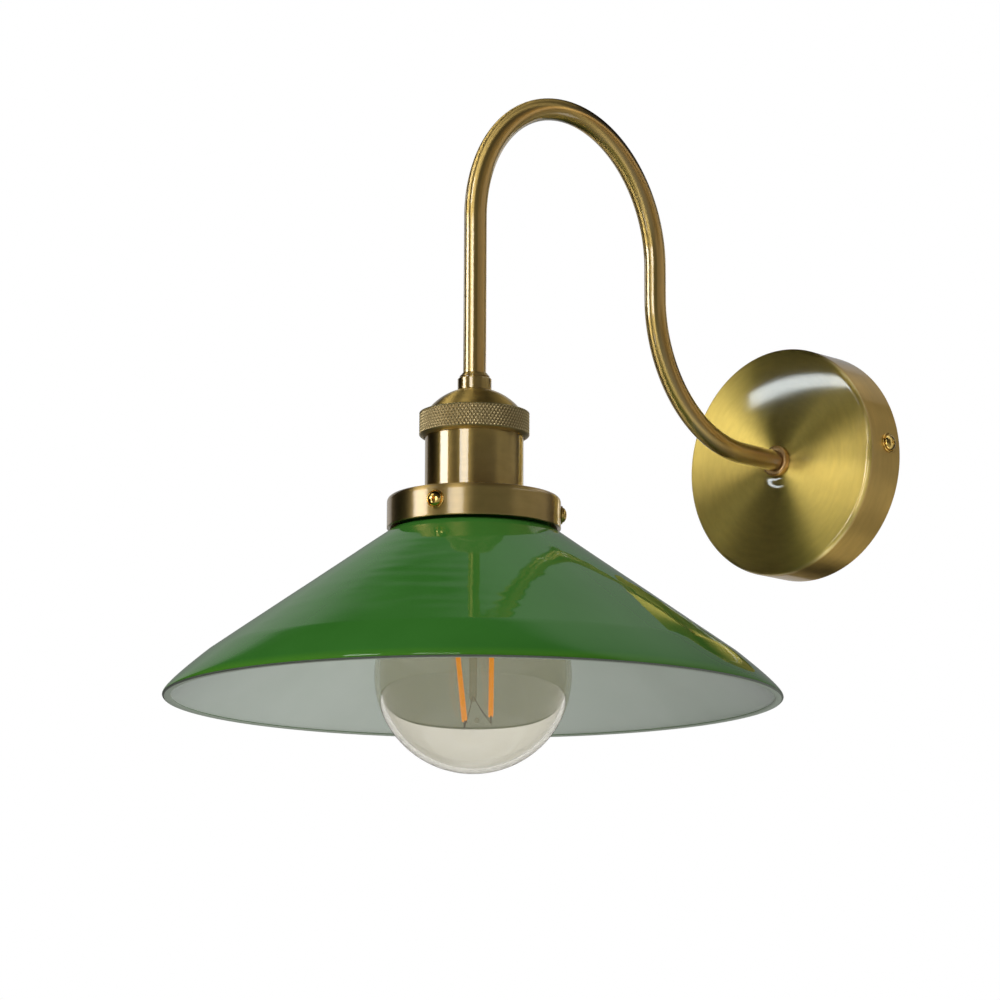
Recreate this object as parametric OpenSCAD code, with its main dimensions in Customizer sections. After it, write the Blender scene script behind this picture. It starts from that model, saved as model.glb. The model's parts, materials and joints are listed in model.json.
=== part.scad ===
// Gooseneck wall sconce: round canopy, swan-neck tube arm, metal lampholder
// with a knurled union ring, shade gallery, coolie glass shade and globe bulb.
// Frame: wall plane is Y = 0, the room is towards -Y, +X right, +Z up.
// The origin is the centre of the canopy on the wall. All lengths in mm.

/* [Canopy] */
// Outside diameter of the canopy
canopy_d = 103; // [95:0.5:110]
// Depth of the canopy from the wall to its face
canopy_h = 22.3; // [20:0.1:28]
// Sheet thickness of the canopy
canopy_t = 1.2; // [0.8:0.1:1.6]
// Edge radius between the canopy's face and side
canopy_r = 2.2; // [1.6:0.1:3]
// Distance of the side screws from the wall
side_screw_y = 8.6; // [7:0.1:10]
// How far the side screws are clocked above the horizontal
side_screw_clock = 4.2; // [0:0.1:5]

/* [Arm] */
// Outside diameter of the arm tube
arm_d = 9.4; // [9:0.1:10]
// Wall thickness of the arm tube
arm_t = 1.0; // [0.8:0.1:1.2]
// Distance from the wall to the shade's axis
projection = 222; // [210:1:240]
// Centreline radius of the top bend
top_bend = 57.5; // [50:0.5:62]
// Centreline radius of the bend into the canopy
low_bend = 59.6; // [50:0.1:62]
// Height of the top bend's centre above the canopy's centre
bend_z = 73.5; // [66:0.5:90]

/* [Lampholder] */
// Outside diameter of the lampholder's shell
shell_d = 40.3; // [40:0.1:41]
// Outside diameter of the knurled union ring
ring_d = 45.3; // [45:0.1:48]
// Outside diameter of the stepped coupler on the dome
coupler_d = 14.3; // [13:0.1:16]

/* [Gallery and shade] */
// Outside diameter of the shade gallery
gallery_d = 71; // [70:0.5:72]
// Height of the gallery
gallery_h = 13.1; // [12.5:0.1:14]
// Clocking of the first gallery screw, from -Y towards +X
gallery_clock = 17.5; // [0:0.5:119]
// Outside diameter of the shade's rim
shade_d = 250; // [244:1:256]
// Thickness of the shade's glass
shade_t = 3.2; // [2.6:0.1:3.6]
// Height of the shade's rim below the canopy's centre
rim_z = 128; // [126:0.5:132]

/* [Bulb] */
// Diameter of the globe
bulb_d = 80; // [78:0.5:81]
// Height of the globe's centre below the canopy's centre
bulb_z = 117.5; // [116:0.5:118]

/* [Hidden] */

brass = [0.55, 0.43, 0.22];
bright_brass = [0.80, 0.62, 0.28];
zinc = [0.68, 0.69, 0.70];
FN = 96;

canopy_R = canopy_d / 2;
arm_R = arm_d / 2;
bore_R = arm_R - arm_t;
axis_y = -projection;             // the shade's axis
leg_y = axis_y + 2 * top_bend;    // the leg behind the top bend
low_y = leg_y + low_bend;         // centre of the lower bend
shell_R = shell_d / 2;
ring_R = ring_d / 2;
coupler_R = coupler_d / 2;
gallery_R = gallery_d / 2;
gallery_z1 = -44.6;               // gallery top face
gallery_z0 = gallery_z1 - gallery_h;
dome_zc = -23.3;                  // centre of the dome's sphere
dome_rho = 24.2;
bulb_R = bulb_d / 2;

// ---- helpers -------------------------------------------------------------
// everything about the shade's axis
module on_axis() { translate([0, axis_y, 0]) children(); }
// local +X is the screw's outward direction
module at_canopy_side(side) {
    translate([0, -side_screw_y, 0])
        rotate([0, (side > 0 ? 0 : 180) - side_screw_clock, 0])
            translate([canopy_R, 0, 0]) children();
}
module at_gallery(k) {
    on_axis() translate([0, 0, gallery_z1 - 6.6])
        rotate([0, 0, -90 + gallery_clock + 120 * k])
            translate([gallery_R, 0, 0]) children();
}
// a solid of revolution about the shade's axis from [radius, height] points
module turned(pts) { on_axis() rotate_extrude($fn = FN) polygon(pts); }
// a solid of revolution about local X: points are [radius, along X]
module turned_x(pts) { rotate([0, 90, 0]) rotate_extrude($fn = FN) polygon(pts); }
// ring section in the plane of the arm, about the bend's centre
module bend(cy, cz, R, r1, r0, a0, a1) {
    translate([0, cy, cz]) rotate([90, 0, 90])
        rotate_extrude(angle = a1 - a0, start = a0, $fn = FN)
            translate([R, 0]) difference() {
                circle(r = r1, $fn = 48);
                if (r0 > 0) circle(r = r0, $fn = 48);
            }
}
module pipe_z(y, z0, z1, r1, r0) {
    translate([0, y, z0]) difference() {
        cylinder(r = r1, h = z1 - z0, $fn = FN);
        if (r0 > 0) translate([0, 0, -1]) cylinder(r = r0, h = z1 - z0 + 2, $fn = FN);
    }
}
module pipe_y(z, y0, y1, r1, r0) {
    translate([0, y1, z]) rotate([90, 0, 0]) difference() {
        cylinder(r = r1, h = y1 - y0, $fn = FN);
        if (r0 > 0) translate([0, 0, -1]) cylinder(r = r0, h = y1 - y0 + 2, $fn = FN);
    }
}
// pan head with a cross recess: local +X is outward, the seat is at X = 0
module pan_screw(head_R, head_h, shank_R, shank_l) {
    difference() {
        union() {
            rotate([0, 90, 0]) rotate_extrude($fn = FN) intersection() {
                translate([0, head_h - 2.2 * head_R]) circle(r = 2.2 * head_R, $fn = 128);
                square([head_R, head_h]);
            }
            translate([-shank_l, 0, 0]) rotate([0, 90, 0])
                cylinder(r = shank_R, h = shank_l + 0.2, $fn = 48);
        }
        for (a = [45, 135]) rotate([a, 0, 0])
            translate([head_h - 1.1, -head_R * 0.52, -head_R * 0.11])
                cube([2, head_R * 1.04, head_R * 0.22]);
    }
}
module flat_washer(R, r, t) {
    rotate([0, 90, 0]) difference() {
        cylinder(r = R, h = t, $fn = FN);
        translate([0, 0, -1]) cylinder(r = r, h = t + 2, $fn = 48);
    }
}
module hexagon_nut(af, bore, h) {
    difference() {
        cylinder(d = af / cos(30), h = h, $fn = 6);
        translate([0, 0, -1]) cylinder(r = bore, h = h + 2, $fn = FN);
    }
}
module star_washer(R, r, t) {
    difference() {
        cylinder(r = R, h = t, $fn = FN);
        translate([0, 0, -1]) cylinder(r = r, h = t + 2, $fn = FN);
        for (k = [0 : 9]) rotate([0, 0, 36 * k])
            translate([R - 1.6, -0.45, -1]) cube([3, 0.9, t + 2]);
    }
}
// round wire along a list of points
function unit(v) = v / norm(v);
function tang(p, i) = unit(i == 0 ? p[1] - p[0]
    : i == len(p) - 1 ? p[i] - p[i - 1] : unit(p[i + 1] - p[i]) + unit(p[i] - p[i - 1]));
module wire(p, r, n = 8) {
    ref = [1, 0.013, 0.007];
    rings = [for (i = [0 : len(p) - 1]) let (t = tang(p, i), a = unit(cross(t, ref)), b = cross(t, a))
        for (k = [0 : n - 1]) p[i] + r * (cos(360 * k / n) * a + sin(360 * k / n) * b)];
    m = len(p);
    polyhedron(rings, concat(
        [[for (k = [0 : n - 1]) k]],
        [for (i = [0 : m - 2]) for (k = [0 : n - 1]) let (q = (k + 1) % n)
            [i * n + q, i * n + k, (i + 1) * n + k, (i + 1) * n + q]],
        [[for (k = [n - 1 : -1 : 0]) (m - 1) * n + k]]));
}
// the arm's centreline shifted by o in the arm's plane and x sideways
function arm_route(x, o) = concat(
    [for (z = [-6, 24, bend_z]) [x, axis_y - o, z]],
    [for (a = [170 : -10 : 10]) [x, axis_y + top_bend + (top_bend + o) * cos(a), bend_z + (top_bend + o) * sin(a)]],
    [for (z = [bend_z, low_bend]) [x, leg_y + o, z]],
    [for (a = [190 : 10 : 260]) [x, low_y + (low_bend - o) * cos(a), low_bend + (low_bend - o) * sin(a)]],
    [for (y = [low_y, -17]) [x, y, o]]);
// arcs and curves
function arc(cx, cy, r, a0, a1, n) = [for (i = [0 : n]) let (a = a0 + (a1 - a0) * i / n) [cx + r * cos(a), cy + r * sin(a)]];
function bez(a, b, c, n) = [for (i = [1 : n]) let (t = i / n) a * pow(1 - t, 2) + b * 2 * t * (1 - t) + c * t * t];

// ---- wall bracket --------------------------------------------------------
strap_t = 2;
strap_half = canopy_R - canopy_t - 1.3;
module wall_bracket() color(zinc) difference() {
    union() {
        translate([-strap_half, -strap_t, -9]) cube([2 * strap_half, strap_t, 18]);
        translate([-11, -strap_t, 8.5]) cube([22, strap_t, 21.5]);
        for (s = [1, -1]) translate([s > 0 ? strap_half - strap_t : -strap_half, -side_screw_y - 6, -9])
            cube([strap_t, side_screw_y + 6, 18]);
    }
    // cable hole, wall slots, terminal block and earth screw holes
    translate([0, 1, 0]) rotate([90, 0, 0]) cylinder(r = 6, h = 4, $fn = 64);
    for (s = [1, -1]) translate([s * 30, 1, 0]) rotate([90, 0, 0]) {
        translate([-5.5, -2.5, 0]) cube([11, 5, 4]);
        for (e = [1, -1]) translate([e * 5.5, 0, 0]) cylinder(r = 2.5, h = 4, $fn = 48);
    }
    translate([tb_x / 2, 1, tb_z]) rotate([90, 0, 0]) cylinder(r = 1.3, h = 4, $fn = 48);
    translate([15.5, 1, 0]) rotate([90, 0, 0]) cylinder(r = 2.05, h = 4, $fn = 48);
    for (s = [1, -1]) at_canopy_side(s) translate([-8, 0, 0]) rotate([0, 90, 0])
        cylinder(r = 2.05, h = 12, $fn = 48);
}

// ---- canopy --------------------------------------------------------------
module canopy() color(brass) difference() {
    rotate([90, 0, 0]) rotate_extrude($fn = 180) difference() {
        union() {
            square([canopy_R, canopy_h - canopy_r]);
            square([canopy_R - canopy_r, canopy_h]);
            translate([canopy_R - canopy_r, canopy_h - canopy_r]) circle(r = canopy_r, $fn = 64);
        }
        translate([-1, -1]) square([canopy_R - canopy_t + 1, canopy_h - canopy_t - 1]);
        translate([-1, -1]) square([canopy_R - canopy_t - 1, canopy_h - canopy_t + 1]);
        translate([-9, -5]) square([9, 60]);
    }
    translate([0, -canopy_h + 4, 0]) rotate([90, 0, 0]) cylinder(r = arm_R + 0.05, h = 8, $fn = FN);
    for (s = [1, -1]) at_canopy_side(s) translate([-4, 0, 0]) rotate([0, 90, 0])
        cylinder(r = 2.3, h = 8, $fn = 48);
}
module canopy_washer(side) color(bright_brass) at_canopy_side(side)
    translate([0.03, 0, 0]) flat_washer(4.4, 2.06, 0.8);
module canopy_screw(side) color(bright_brass) at_canopy_side(side)
    translate([0.85, 0, 0]) pan_screw(3.9, 2.1, 2.0, 7.6);

// ---- arm -----------------------------------------------------------------
module arm_tube() color(brass) union() {
    pipe_z(axis_y, -6.6, bend_z, arm_R, bore_R);
    bend(axis_y + top_bend, bend_z, top_bend, arm_R, bore_R, 0, 180);
    pipe_z(leg_y, low_bend, bend_z, arm_R, bore_R);
    bend(low_y, low_bend, low_bend, arm_R, bore_R, 180, 270);
    pipe_y(0, low_y, -13, arm_R, bore_R);
}
// shoulder ring that the canopy is pulled against
module arm_collar() color(brass) translate([0, -canopy_h, 0]) rotate([90, 0, 0])
    rotate_extrude($fn = FN) difference() {
        union() {
            square([6.9, 2]);
            square([5.9, 3]);
            translate([5.9, 2]) circle(r = 1, $fn = 48);
        }
        translate([-1, -1]) square([arm_R + 1, 6]);
    }
module arm_lock_washer() color(zinc) translate([0, -canopy_h + canopy_t + 0.9, 0]) rotate([90, 0, 0])
    star_washer(8.6, arm_R, 0.9);
module arm_hex_nut() color(zinc) translate([0, -canopy_h + canopy_t + 4.9, 0]) rotate([90, 0, 0])
    hexagon_nut(14, arm_R, 4);
// insulating bush pressed into the tube's end
module cable_bush() color("white") translate([0, -13, 0]) rotate([-90, 0, 0]) difference() {
    union() {
        cylinder(r = arm_R, h = 1.2, $fn = FN);
        translate([0, 0, -4]) cylinder(r = bore_R, h = 4.4, $fn = FN);
    }
    translate([0, 0, -5]) cylinder(r = bore_R - 0.45, h = 8, $fn = FN);
}

// ---- connection inside the canopy ----------------------------------------
tb_z = 20;      // height of the terminal block's centre
tb_x = 8;       // pitch of its poles
tb_y = -9.6;    // the poles' distance from the wall
tb_e = 4.6;     // the clamp screws' distance from the middle
module terminal_block() color([0.92, 0.92, 0.9]) difference() {
    translate([-12, -14.6, tb_z - 8]) cube([24, 12.6, 16]);
    for (k = [-1, 0, 1]) {
        translate([k * tb_x, tb_y, tb_z - 9]) cylinder(r = 2.3, h = 18, $fn = 48);
        for (e = [-1, 1]) translate([k * tb_x, tb_y, tb_z + e * tb_e])
            rotate([90, 0, 0]) cylinder(r = 1.7, h = 8, $fn = 48);
    }
    translate([tb_x / 2, 0, tb_z]) rotate([90, 0, 0]) cylinder(r = 1.3, h = 20, $fn = 48);
}
module terminal_sleeves() color(bright_brass) for (k = [-1, 0, 1])
    translate([k * tb_x, tb_y, tb_z]) difference() {
        translate([0, 0, -7]) cylinder(r = 2.25, h = 14, $fn = 48);
        translate([0, 0, -8]) cylinder(r = 1.35, h = 16, $fn = 48);
        for (e = [-1, 1]) translate([0, 0, e * tb_e])
            rotate([90, 0, 0]) cylinder(r = 1.3, h = 6, $fn = 48);
    }
module terminal_screws() color(zinc) for (k = [-1, 0, 1]) for (e = [-1, 1])
    translate([k * tb_x, -10.85, tb_z + e * tb_e]) rotate([90, 0, 0]) difference() {
        cylinder(r = 1.25, h = 3.4, $fn = 48);
        translate([-2, -0.25, 2.8]) cube([4, 0.5, 2]);
    }
module terminal_block_screw() color(zinc) translate([tb_x / 2, -14.65, tb_z]) rotate([0, 0, -90])
    pan_screw(2.2, 1.4, 1.25, 14.4);
module earth_screw() color(bright_brass) translate([15.5, -2.95, 0]) rotate([0, 0, -90])
    pan_screw(3.8, 2.2, 2.0, 2.9);
module earth_ring_tag() color(zinc) difference() {
    union() {
        translate([15.5, -2.05, 0]) rotate([90, 0, 0]) {
            cylinder(r = 4.2, h = 0.8, $fn = 64);
            translate([-1.6, 0, 0]) cube([3.2, 6.6, 0.8]);
        }
        translate([15.5, -3.7, 5.2]) cylinder(r = 1.6, h = 4.4, $fn = 48);
    }
    translate([15.5, -1, 0]) rotate([90, 0, 0]) cylinder(r = 2.1, h = 3, $fn = 48);
    translate([15.5, -3.7, 5]) cylinder(r = 1.08, h = 7, $fn = 48);
}
wire_r = 1.0;
module live_wire() color([0.45, 0.26, 0.13]) wire(concat(
    [[-9.5, axis_y, -13.65], [-7.2, axis_y, -13.6], [-4.6, axis_y, -12.9], [-2.6, axis_y, -11.2], [-1.8, axis_y, -8.8]],
    arm_route(-1.7, 0),
    [[-2.1, -12.4, 0.3], [-3.6, -9.2, 2.2], [-5.6, -8.0, 5.2], [-7.3, -8.6, 8.6], [-8, tb_y, 12], [-8, tb_y, 15]]), wire_r);
module neutral_wire() color([0.15, 0.3, 0.65]) wire(concat(
    [[9.5, axis_y, -13.65], [7.2, axis_y, -13.6], [4.6, axis_y, -12.9], [2.6, axis_y, -11.2], [1.8, axis_y, -8.8]],
    arm_route(1.7, 0),
    [[1.7, -12.4, 0.3], [1.2, -9.2, 2.4], [0.5, -8.0, 5.4], [0, -8.6, 8.8], [0, tb_y, 12], [0, tb_y, 15]]), wire_r);
module earth_wire() color([0.35, 0.6, 0.15]) wire(
    [[15.5, -3.7, 6], [15.5, -3.7, 8.4], [15.5, -3.72, 10], [14.7, -4.8, 12.2], [14.3, -7.0, 11.8], [13.2, -8.6, 9.6],
     [11.2, -9.4, 8.2], [9.1, -9.6, 8.6], [8.1, tb_y, 10.6], [8, tb_y, 12.6], [8, tb_y, 15]], wire_r);

// ---- dome, union ring and shell ------------------------------------------
module coupler() color(brass) turned([[arm_R, -0.2], [coupler_R, -0.2], [coupler_R, 4.6],
    [coupler_R - 0.35, 5.9], [coupler_R - 1.4, 7.1], [arm_R, 7.1]]);
function dome_r(rho, z) = sqrt(rho * rho - pow(z - dome_zc, 2));
module dome_cap() color(brass) on_axis() rotate_extrude($fn = FN) difference() {
    union() {
        intersection() {
            translate([0, dome_zc]) circle(r = dome_rho, $fn = 180);
            translate([arm_R, -9.3]) square([40, 9.1]);
        }
        translate([arm_R, -15.6]) square([21.1 - arm_R, 6.3]);
    }
    intersection() {
        translate([0, dome_zc]) circle(r = dome_rho - 1.2, $fn = 180);
        translate([0, -16]) square([17.9, 14.2]);
    }
    translate([0, -16]) square([17.9, 4]);
}
module dome_lock_washer() color(zinc) on_axis() translate([0, 0, -2.6]) star_washer(8, arm_R, 0.8);
module dome_hex_nut() color(zinc) on_axis() translate([0, 0, -5.8]) hexagon_nut(14, arm_R, 3.2);
module knurled_ring() color(brass) on_axis() rotate_extrude($fn = FN) difference() {
    union() {
        translate([20.3, -18.1]) square([ring_R - 20.3, 7.1]);
        translate([20.3, -19.9]) square([ring_R - 1.8 - 20.3, 10.6]);
        for (z = [-18.1, -11.1]) translate([ring_R - 1.8, z]) circle(r = 1.8, $fn = 64);
    }
    translate([18, -17]) square([3.2, 10]);
    translate([18, -21]) square([2.3, 6]);
}
module lampholder_shell() color(brass) turned([[19.25, -15.65], [21.0, -15.65], [21.0, -16.95],
    [shell_R, -16.95], [shell_R, -44.6], [19.6, -44.6], [19.6, -59], [18.6, -59], [18.6, -43.6], [19.25, -43.6]]);

// ---- socket --------------------------------------------------------------
module socket_ceramic() color([0.9, 0.88, 0.83]) on_axis() difference() {
    translate([0, 0, -43.6]) cylinder(r = 19.15, h = 27.9, $fn = FN);
    translate([0, 0, -45]) cylinder(r = 14.3, h = 7.7, $fn = FN);
    translate([0, 0, -40]) cylinder(r = 1.55, h = 26, $fn = 48);
    translate([7.6, 0, -40]) cylinder(r = 1.55, h = 26, $fn = 48);
    for (s = [1, -1]) translate([s * 11, 0, -19]) cylinder(r = 1.3, h = 5, $fn = 48);
}
module socket_screw_shell() color(bright_brass) turned([[6, -37.3], [13.95, -37.3], [13.95, -60.5],
    [13.45, -60.5], [13.45, -37.8], [6, -37.8]]);
module centre_contact() color(bright_brass) on_axis() difference() {
    union() {
        translate([0, 0, -39.4]) cylinder(r = 3.4, h = 0.7, $fn = 64);
        translate([0, 0, -39]) cylinder(r = 1.5, h = 24.2, $fn = 48);
        translate([-14, -3, -15.7]) cube([15.5, 6, 1]);
    }
    translate([-11, 0, -17]) cylinder(r = 1.3, h = 4, $fn = 48);
}
module shell_contact() color(bright_brass) on_axis() difference() {
    union() {
        translate([7.6, 0, -37.3]) cylinder(r = 1.5, h = 22.5, $fn = 48);
        translate([6, -3, -15.7]) cube([8, 6, 1]);
    }
    translate([11, 0, -17]) cylinder(r = 1.3, h = 4, $fn = 48);
}
module socket_terminal_screws() color(zinc) on_axis() for (s = [1, -1]) translate([s * 11, 0, -12.6])
    rotate([0, -90, 0]) pan_screw(2.6, 1.7, 1.25, 5.8);

// ---- gallery -------------------------------------------------------------
module shade_ring_nut() color(brass) turned([[19.6, -46.1], [26, -46.1], [26, -48.9], [23, -48.9], [23, -51.4], [19.6, -51.4]]);
module gallery() color(brass) difference() {
    on_axis() rotate_extrude($fn = 180) difference() {
        union() {
            translate([0, gallery_z0]) square([gallery_R, gallery_h - 2.4]);
            translate([0, gallery_z0]) square([gallery_R - 2.4, gallery_h]);
            translate([gallery_R - 2.4, gallery_z1 - 2.4]) circle(r = 2.4, $fn = 64);
        }
        translate([-1, gallery_z0 - 1]) square([gallery_R - 1.5 + 1, gallery_h - 1.5 - 0.9 + 1]);
        translate([-1, gallery_z0 - 1]) square([gallery_R - 2.4 + 1, gallery_h - 1.5 + 1]);
        translate([gallery_R - 2.4, gallery_z1 - 2.4]) circle(r = 0.9, $fn = 48);
        translate([-40, -100]) square([40 + 19.6, 100]);
    }
    for (k = [0, 1, 2]) at_gallery(k) translate([-4, 0, 0]) rotate([0, 90, 0]) cylinder(r = 1.55, h = 8, $fn = 48);
}
module gallery_washer(k) color(bright_brass) at_gallery(k) translate([0.03, 0, 0]) flat_washer(3.75, 1.56, 0.7);
module gallery_screw(k) color(bright_brass) at_gallery(k) translate([0.76, 0, 0]) pan_screw(3.0, 1.7, 1.5, 4.7);

// ---- glass shade ---------------------------------------------------------
shade_R = shade_d / 2;
shade_k = 1.4216;                       // run of the cone for each mm of drop
neck_R = 31.35;
cone_z = -57;
function cone_at(r) = cone_z - (r - neck_R) / shade_k;
inner_drop = shade_t * sqrt(1 + shade_k * shade_k) / shade_k;
out_r = shade_R - 16.8;                 // where the cone turns into the rim's bend
in_r = out_r - 2.4;
module glass_shade() color([0.13, 0.35, 0.06, 0.9]) turned(concat(
    [[28.3, -46.8], [32.4, -46.8], [33.1, -47.4], [33.1, -48.7], [32.4, -49.3], [neck_R, -49.5], [neck_R, cone_z]],
    [[out_r, cone_at(out_r)]],
    bez([out_r, cone_at(out_r)], [shade_R + 1.3, -rim_z + 2.1], [shade_R, -rim_z], 12),
    [[shade_R - 3.4, -rim_z]],
    [for (i = [11 : -1 : 0]) bez([in_r, cone_at(in_r) - inner_drop], [shade_R - 2.3, -rim_z + 1.6], [shade_R - 3.4, -rim_z], 12)[i]],
    [[in_r, cone_at(in_r) - inner_drop], [28.3, cone_at(28.3) - inner_drop]]));

// ---- bulb ----------------------------------------------------------------
module bulb_contact() color([0.8, 0.8, 0.78]) turned([[0, -39.5], [3.2, -39.5], [4.4, -40.1], [4.8, -41.5], [0, -41.5]]);
module bulb_insulator() color([0.06, 0.06, 0.06]) turned([[0, -41.5], [5.4, -41.5], [11.4, -44], [11.4, -45], [0, -45]]);
module bulb_cap() color(bright_brass) turned([[11.4, -44], [12.2, -44], [12.9, -45.2], [12.9, -62], [13.2, -62.6], [13.2, -66.6],
    [12.5, -66.6], [12.5, -45.6], [11.4, -45.6]]);
neck_pts = [[12.3, -60], [12.3, -66.8], [13.3, -68.2], [14.2, -71.5], [15.6, -75], [17.6, -78.8]];
join_a = acos(20.6 / bulb_R);
module bulb_glass() color([0.75, 0.68, 0.5, 0.35]) turned(concat(
    neck_pts,
    [for (a = [join_a - 0 : -7.2 : -89]) [bulb_R * cos(a), -bulb_z + bulb_R * sin(a)]],
    [[0, -bulb_z - bulb_R], [0, -bulb_z - bulb_R + 0.8]],
    [for (i = [0 : 20]) let (a = -89 + (join_a + 89) * i / 20) [(bulb_R - 0.8) * cos(a), -bulb_z + (bulb_R - 0.8) * sin(a)]],
    [for (i = [len(neck_pts) - 1 : -1 : 0]) neck_pts[i] - [0.8, i == 0 ? 0 : -0.1]]));
module bulb_stem() color([0.8, 0.8, 0.75, 0.4]) turned([[0, -60], [11.5, -60], [11.5, -61], [7, -66], [4.4, -72], [2.2, -80], [1.7, -108], [1.4, -126], [0.9, -128.2], [0, -128.8]]);
// filament ends as [towards the room's right, towards the room, height]
fil = [[7.2, 4.4, -95, 6.7, 4.4, -134], [7.0, -4.4, -95, 7.4, -4.4, -134],
       [-8.4, 4.0, -95, -3.6, 4.4, -134], [-2.6, -4.2, -95, -6.2, -4.2, -134]];
fu = [0.73728, 0.67559, 0]; fw = [0.67559, -0.73728, 0];
function fil_p(q, i) = [0, axis_y, 0] + q[i] * fu + q[i + 1] * fw + [0, 0, q[i + 2]];
module bulb_filaments() color([0.95, 0.55, 0.12]) for (q = fil) wire([fil_p(q, 0), (fil_p(q, 0) + fil_p(q, 3)) / 2, fil_p(q, 3)], 0.9);
module bulb_wires() color([0.35, 0.33, 0.3]) {
    for (q = fil) {
        wire([fil_p(q, 0) + [0, 0, 0.1], fil_p(q, 0) + [0, 0, 2.2]], 0.3);
        wire([fil_p(q, 3) - [0, 0, 0.1], fil_p(q, 3) - [0, 0, 3.2]], 0.3);
    }
}

wall_bracket();
canopy();
canopy_washer(1);  // canopy_washer_right
canopy_washer(-1);  // canopy_washer_left
canopy_screw(1);  // canopy_screw_right
canopy_screw(-1);  // canopy_screw_left
arm_tube();
arm_collar();
arm_lock_washer();
arm_hex_nut();
cable_bush();
terminal_block();
terminal_sleeves();
terminal_screws();
terminal_block_screw();
earth_screw();
earth_ring_tag();
live_wire();
neutral_wire();
earth_wire();
coupler();
dome_cap();
dome_lock_washer();
dome_hex_nut();
knurled_ring();
lampholder_shell();
socket_ceramic();
socket_screw_shell();
centre_contact();
shell_contact();
socket_terminal_screws();
shade_ring_nut();
gallery();
gallery_washer(0);  // gallery_washer_1
gallery_washer(1);  // gallery_washer_2
gallery_washer(2);  // gallery_washer_3
gallery_screw(0);  // gallery_screw_1
gallery_screw(1);  // gallery_screw_2
gallery_screw(2);  // gallery_screw_3
glass_shade();
bulb_contact();
bulb_insulator();
bulb_cap();
bulb_glass();
bulb_stem();
bulb_filaments();
bulb_wires();
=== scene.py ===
"""Looks of the gooseneck wall sconce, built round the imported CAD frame.

Lengths in the mesh code are millimetres in the row frame (wall plane y = 0, room
towards -y, +x right, +z up, the shade's axis at x = 0, y = -222); they become
metres when a piece is made.
"""

import json
import math

import bmesh
import bpy
from mathutils import Matrix, Vector, noise

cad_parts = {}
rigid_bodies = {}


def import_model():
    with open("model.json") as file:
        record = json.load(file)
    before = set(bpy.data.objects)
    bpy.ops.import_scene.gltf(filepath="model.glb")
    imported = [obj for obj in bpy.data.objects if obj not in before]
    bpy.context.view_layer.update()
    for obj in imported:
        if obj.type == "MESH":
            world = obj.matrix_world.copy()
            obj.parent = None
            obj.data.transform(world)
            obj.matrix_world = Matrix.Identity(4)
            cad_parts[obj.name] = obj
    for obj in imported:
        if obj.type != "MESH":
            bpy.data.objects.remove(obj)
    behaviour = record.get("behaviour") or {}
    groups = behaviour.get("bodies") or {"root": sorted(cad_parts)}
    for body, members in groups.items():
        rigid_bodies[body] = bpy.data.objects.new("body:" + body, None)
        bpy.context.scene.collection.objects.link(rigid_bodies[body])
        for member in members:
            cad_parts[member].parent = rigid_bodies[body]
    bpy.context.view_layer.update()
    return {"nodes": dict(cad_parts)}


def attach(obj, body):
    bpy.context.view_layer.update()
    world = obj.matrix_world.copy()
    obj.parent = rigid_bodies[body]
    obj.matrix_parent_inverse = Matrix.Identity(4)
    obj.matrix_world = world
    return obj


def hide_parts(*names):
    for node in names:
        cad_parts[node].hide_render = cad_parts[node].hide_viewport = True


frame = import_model()
NODES = frame["nodes"]
MM = 0.001
AX = -222.0
TAU = 2 * math.pi
scene = bpy.context.scene
scene.view_settings.view_transform = "Standard"
scene.view_settings.look = "None"
scene.cycles.max_bounces = 10
scene.cycles.transparent_max_bounces = 24
scene.cycles.sample_clamp_indirect = 6.0

# ---------------------------------------------------------------- camera
CAM = Vector((1021.969, -1319.903, -326.308)) * MM
CAM_F = Vector((-0.66460591, 0.72418994, 0.18397803))
CAM_R = Vector((0.73724421, 0.67561556, 0.00382041))
CAM_U = Vector((0.12153172, -0.1381758, 0.98292293))
cam_data = bpy.data.cameras.new("camera")
cam_data.sensor_fit = "HORIZONTAL"
cam_data.sensor_width = 36.0
cam_data.lens = 134.7405
cam_data.clip_start = 0.05
cam_data.clip_end = 60.0
camera = bpy.data.objects.new("camera", cam_data)
scene.collection.objects.link(camera)
camera.matrix_world = Matrix((
    (CAM_R.x, CAM_U.x, -CAM_F.x, CAM.x),
    (CAM_R.y, CAM_U.y, -CAM_F.y, CAM.y),
    (CAM_R.z, CAM_U.z, -CAM_F.z, CAM.z),
    (0, 0, 0, 1)))
scene.camera = camera


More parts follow.
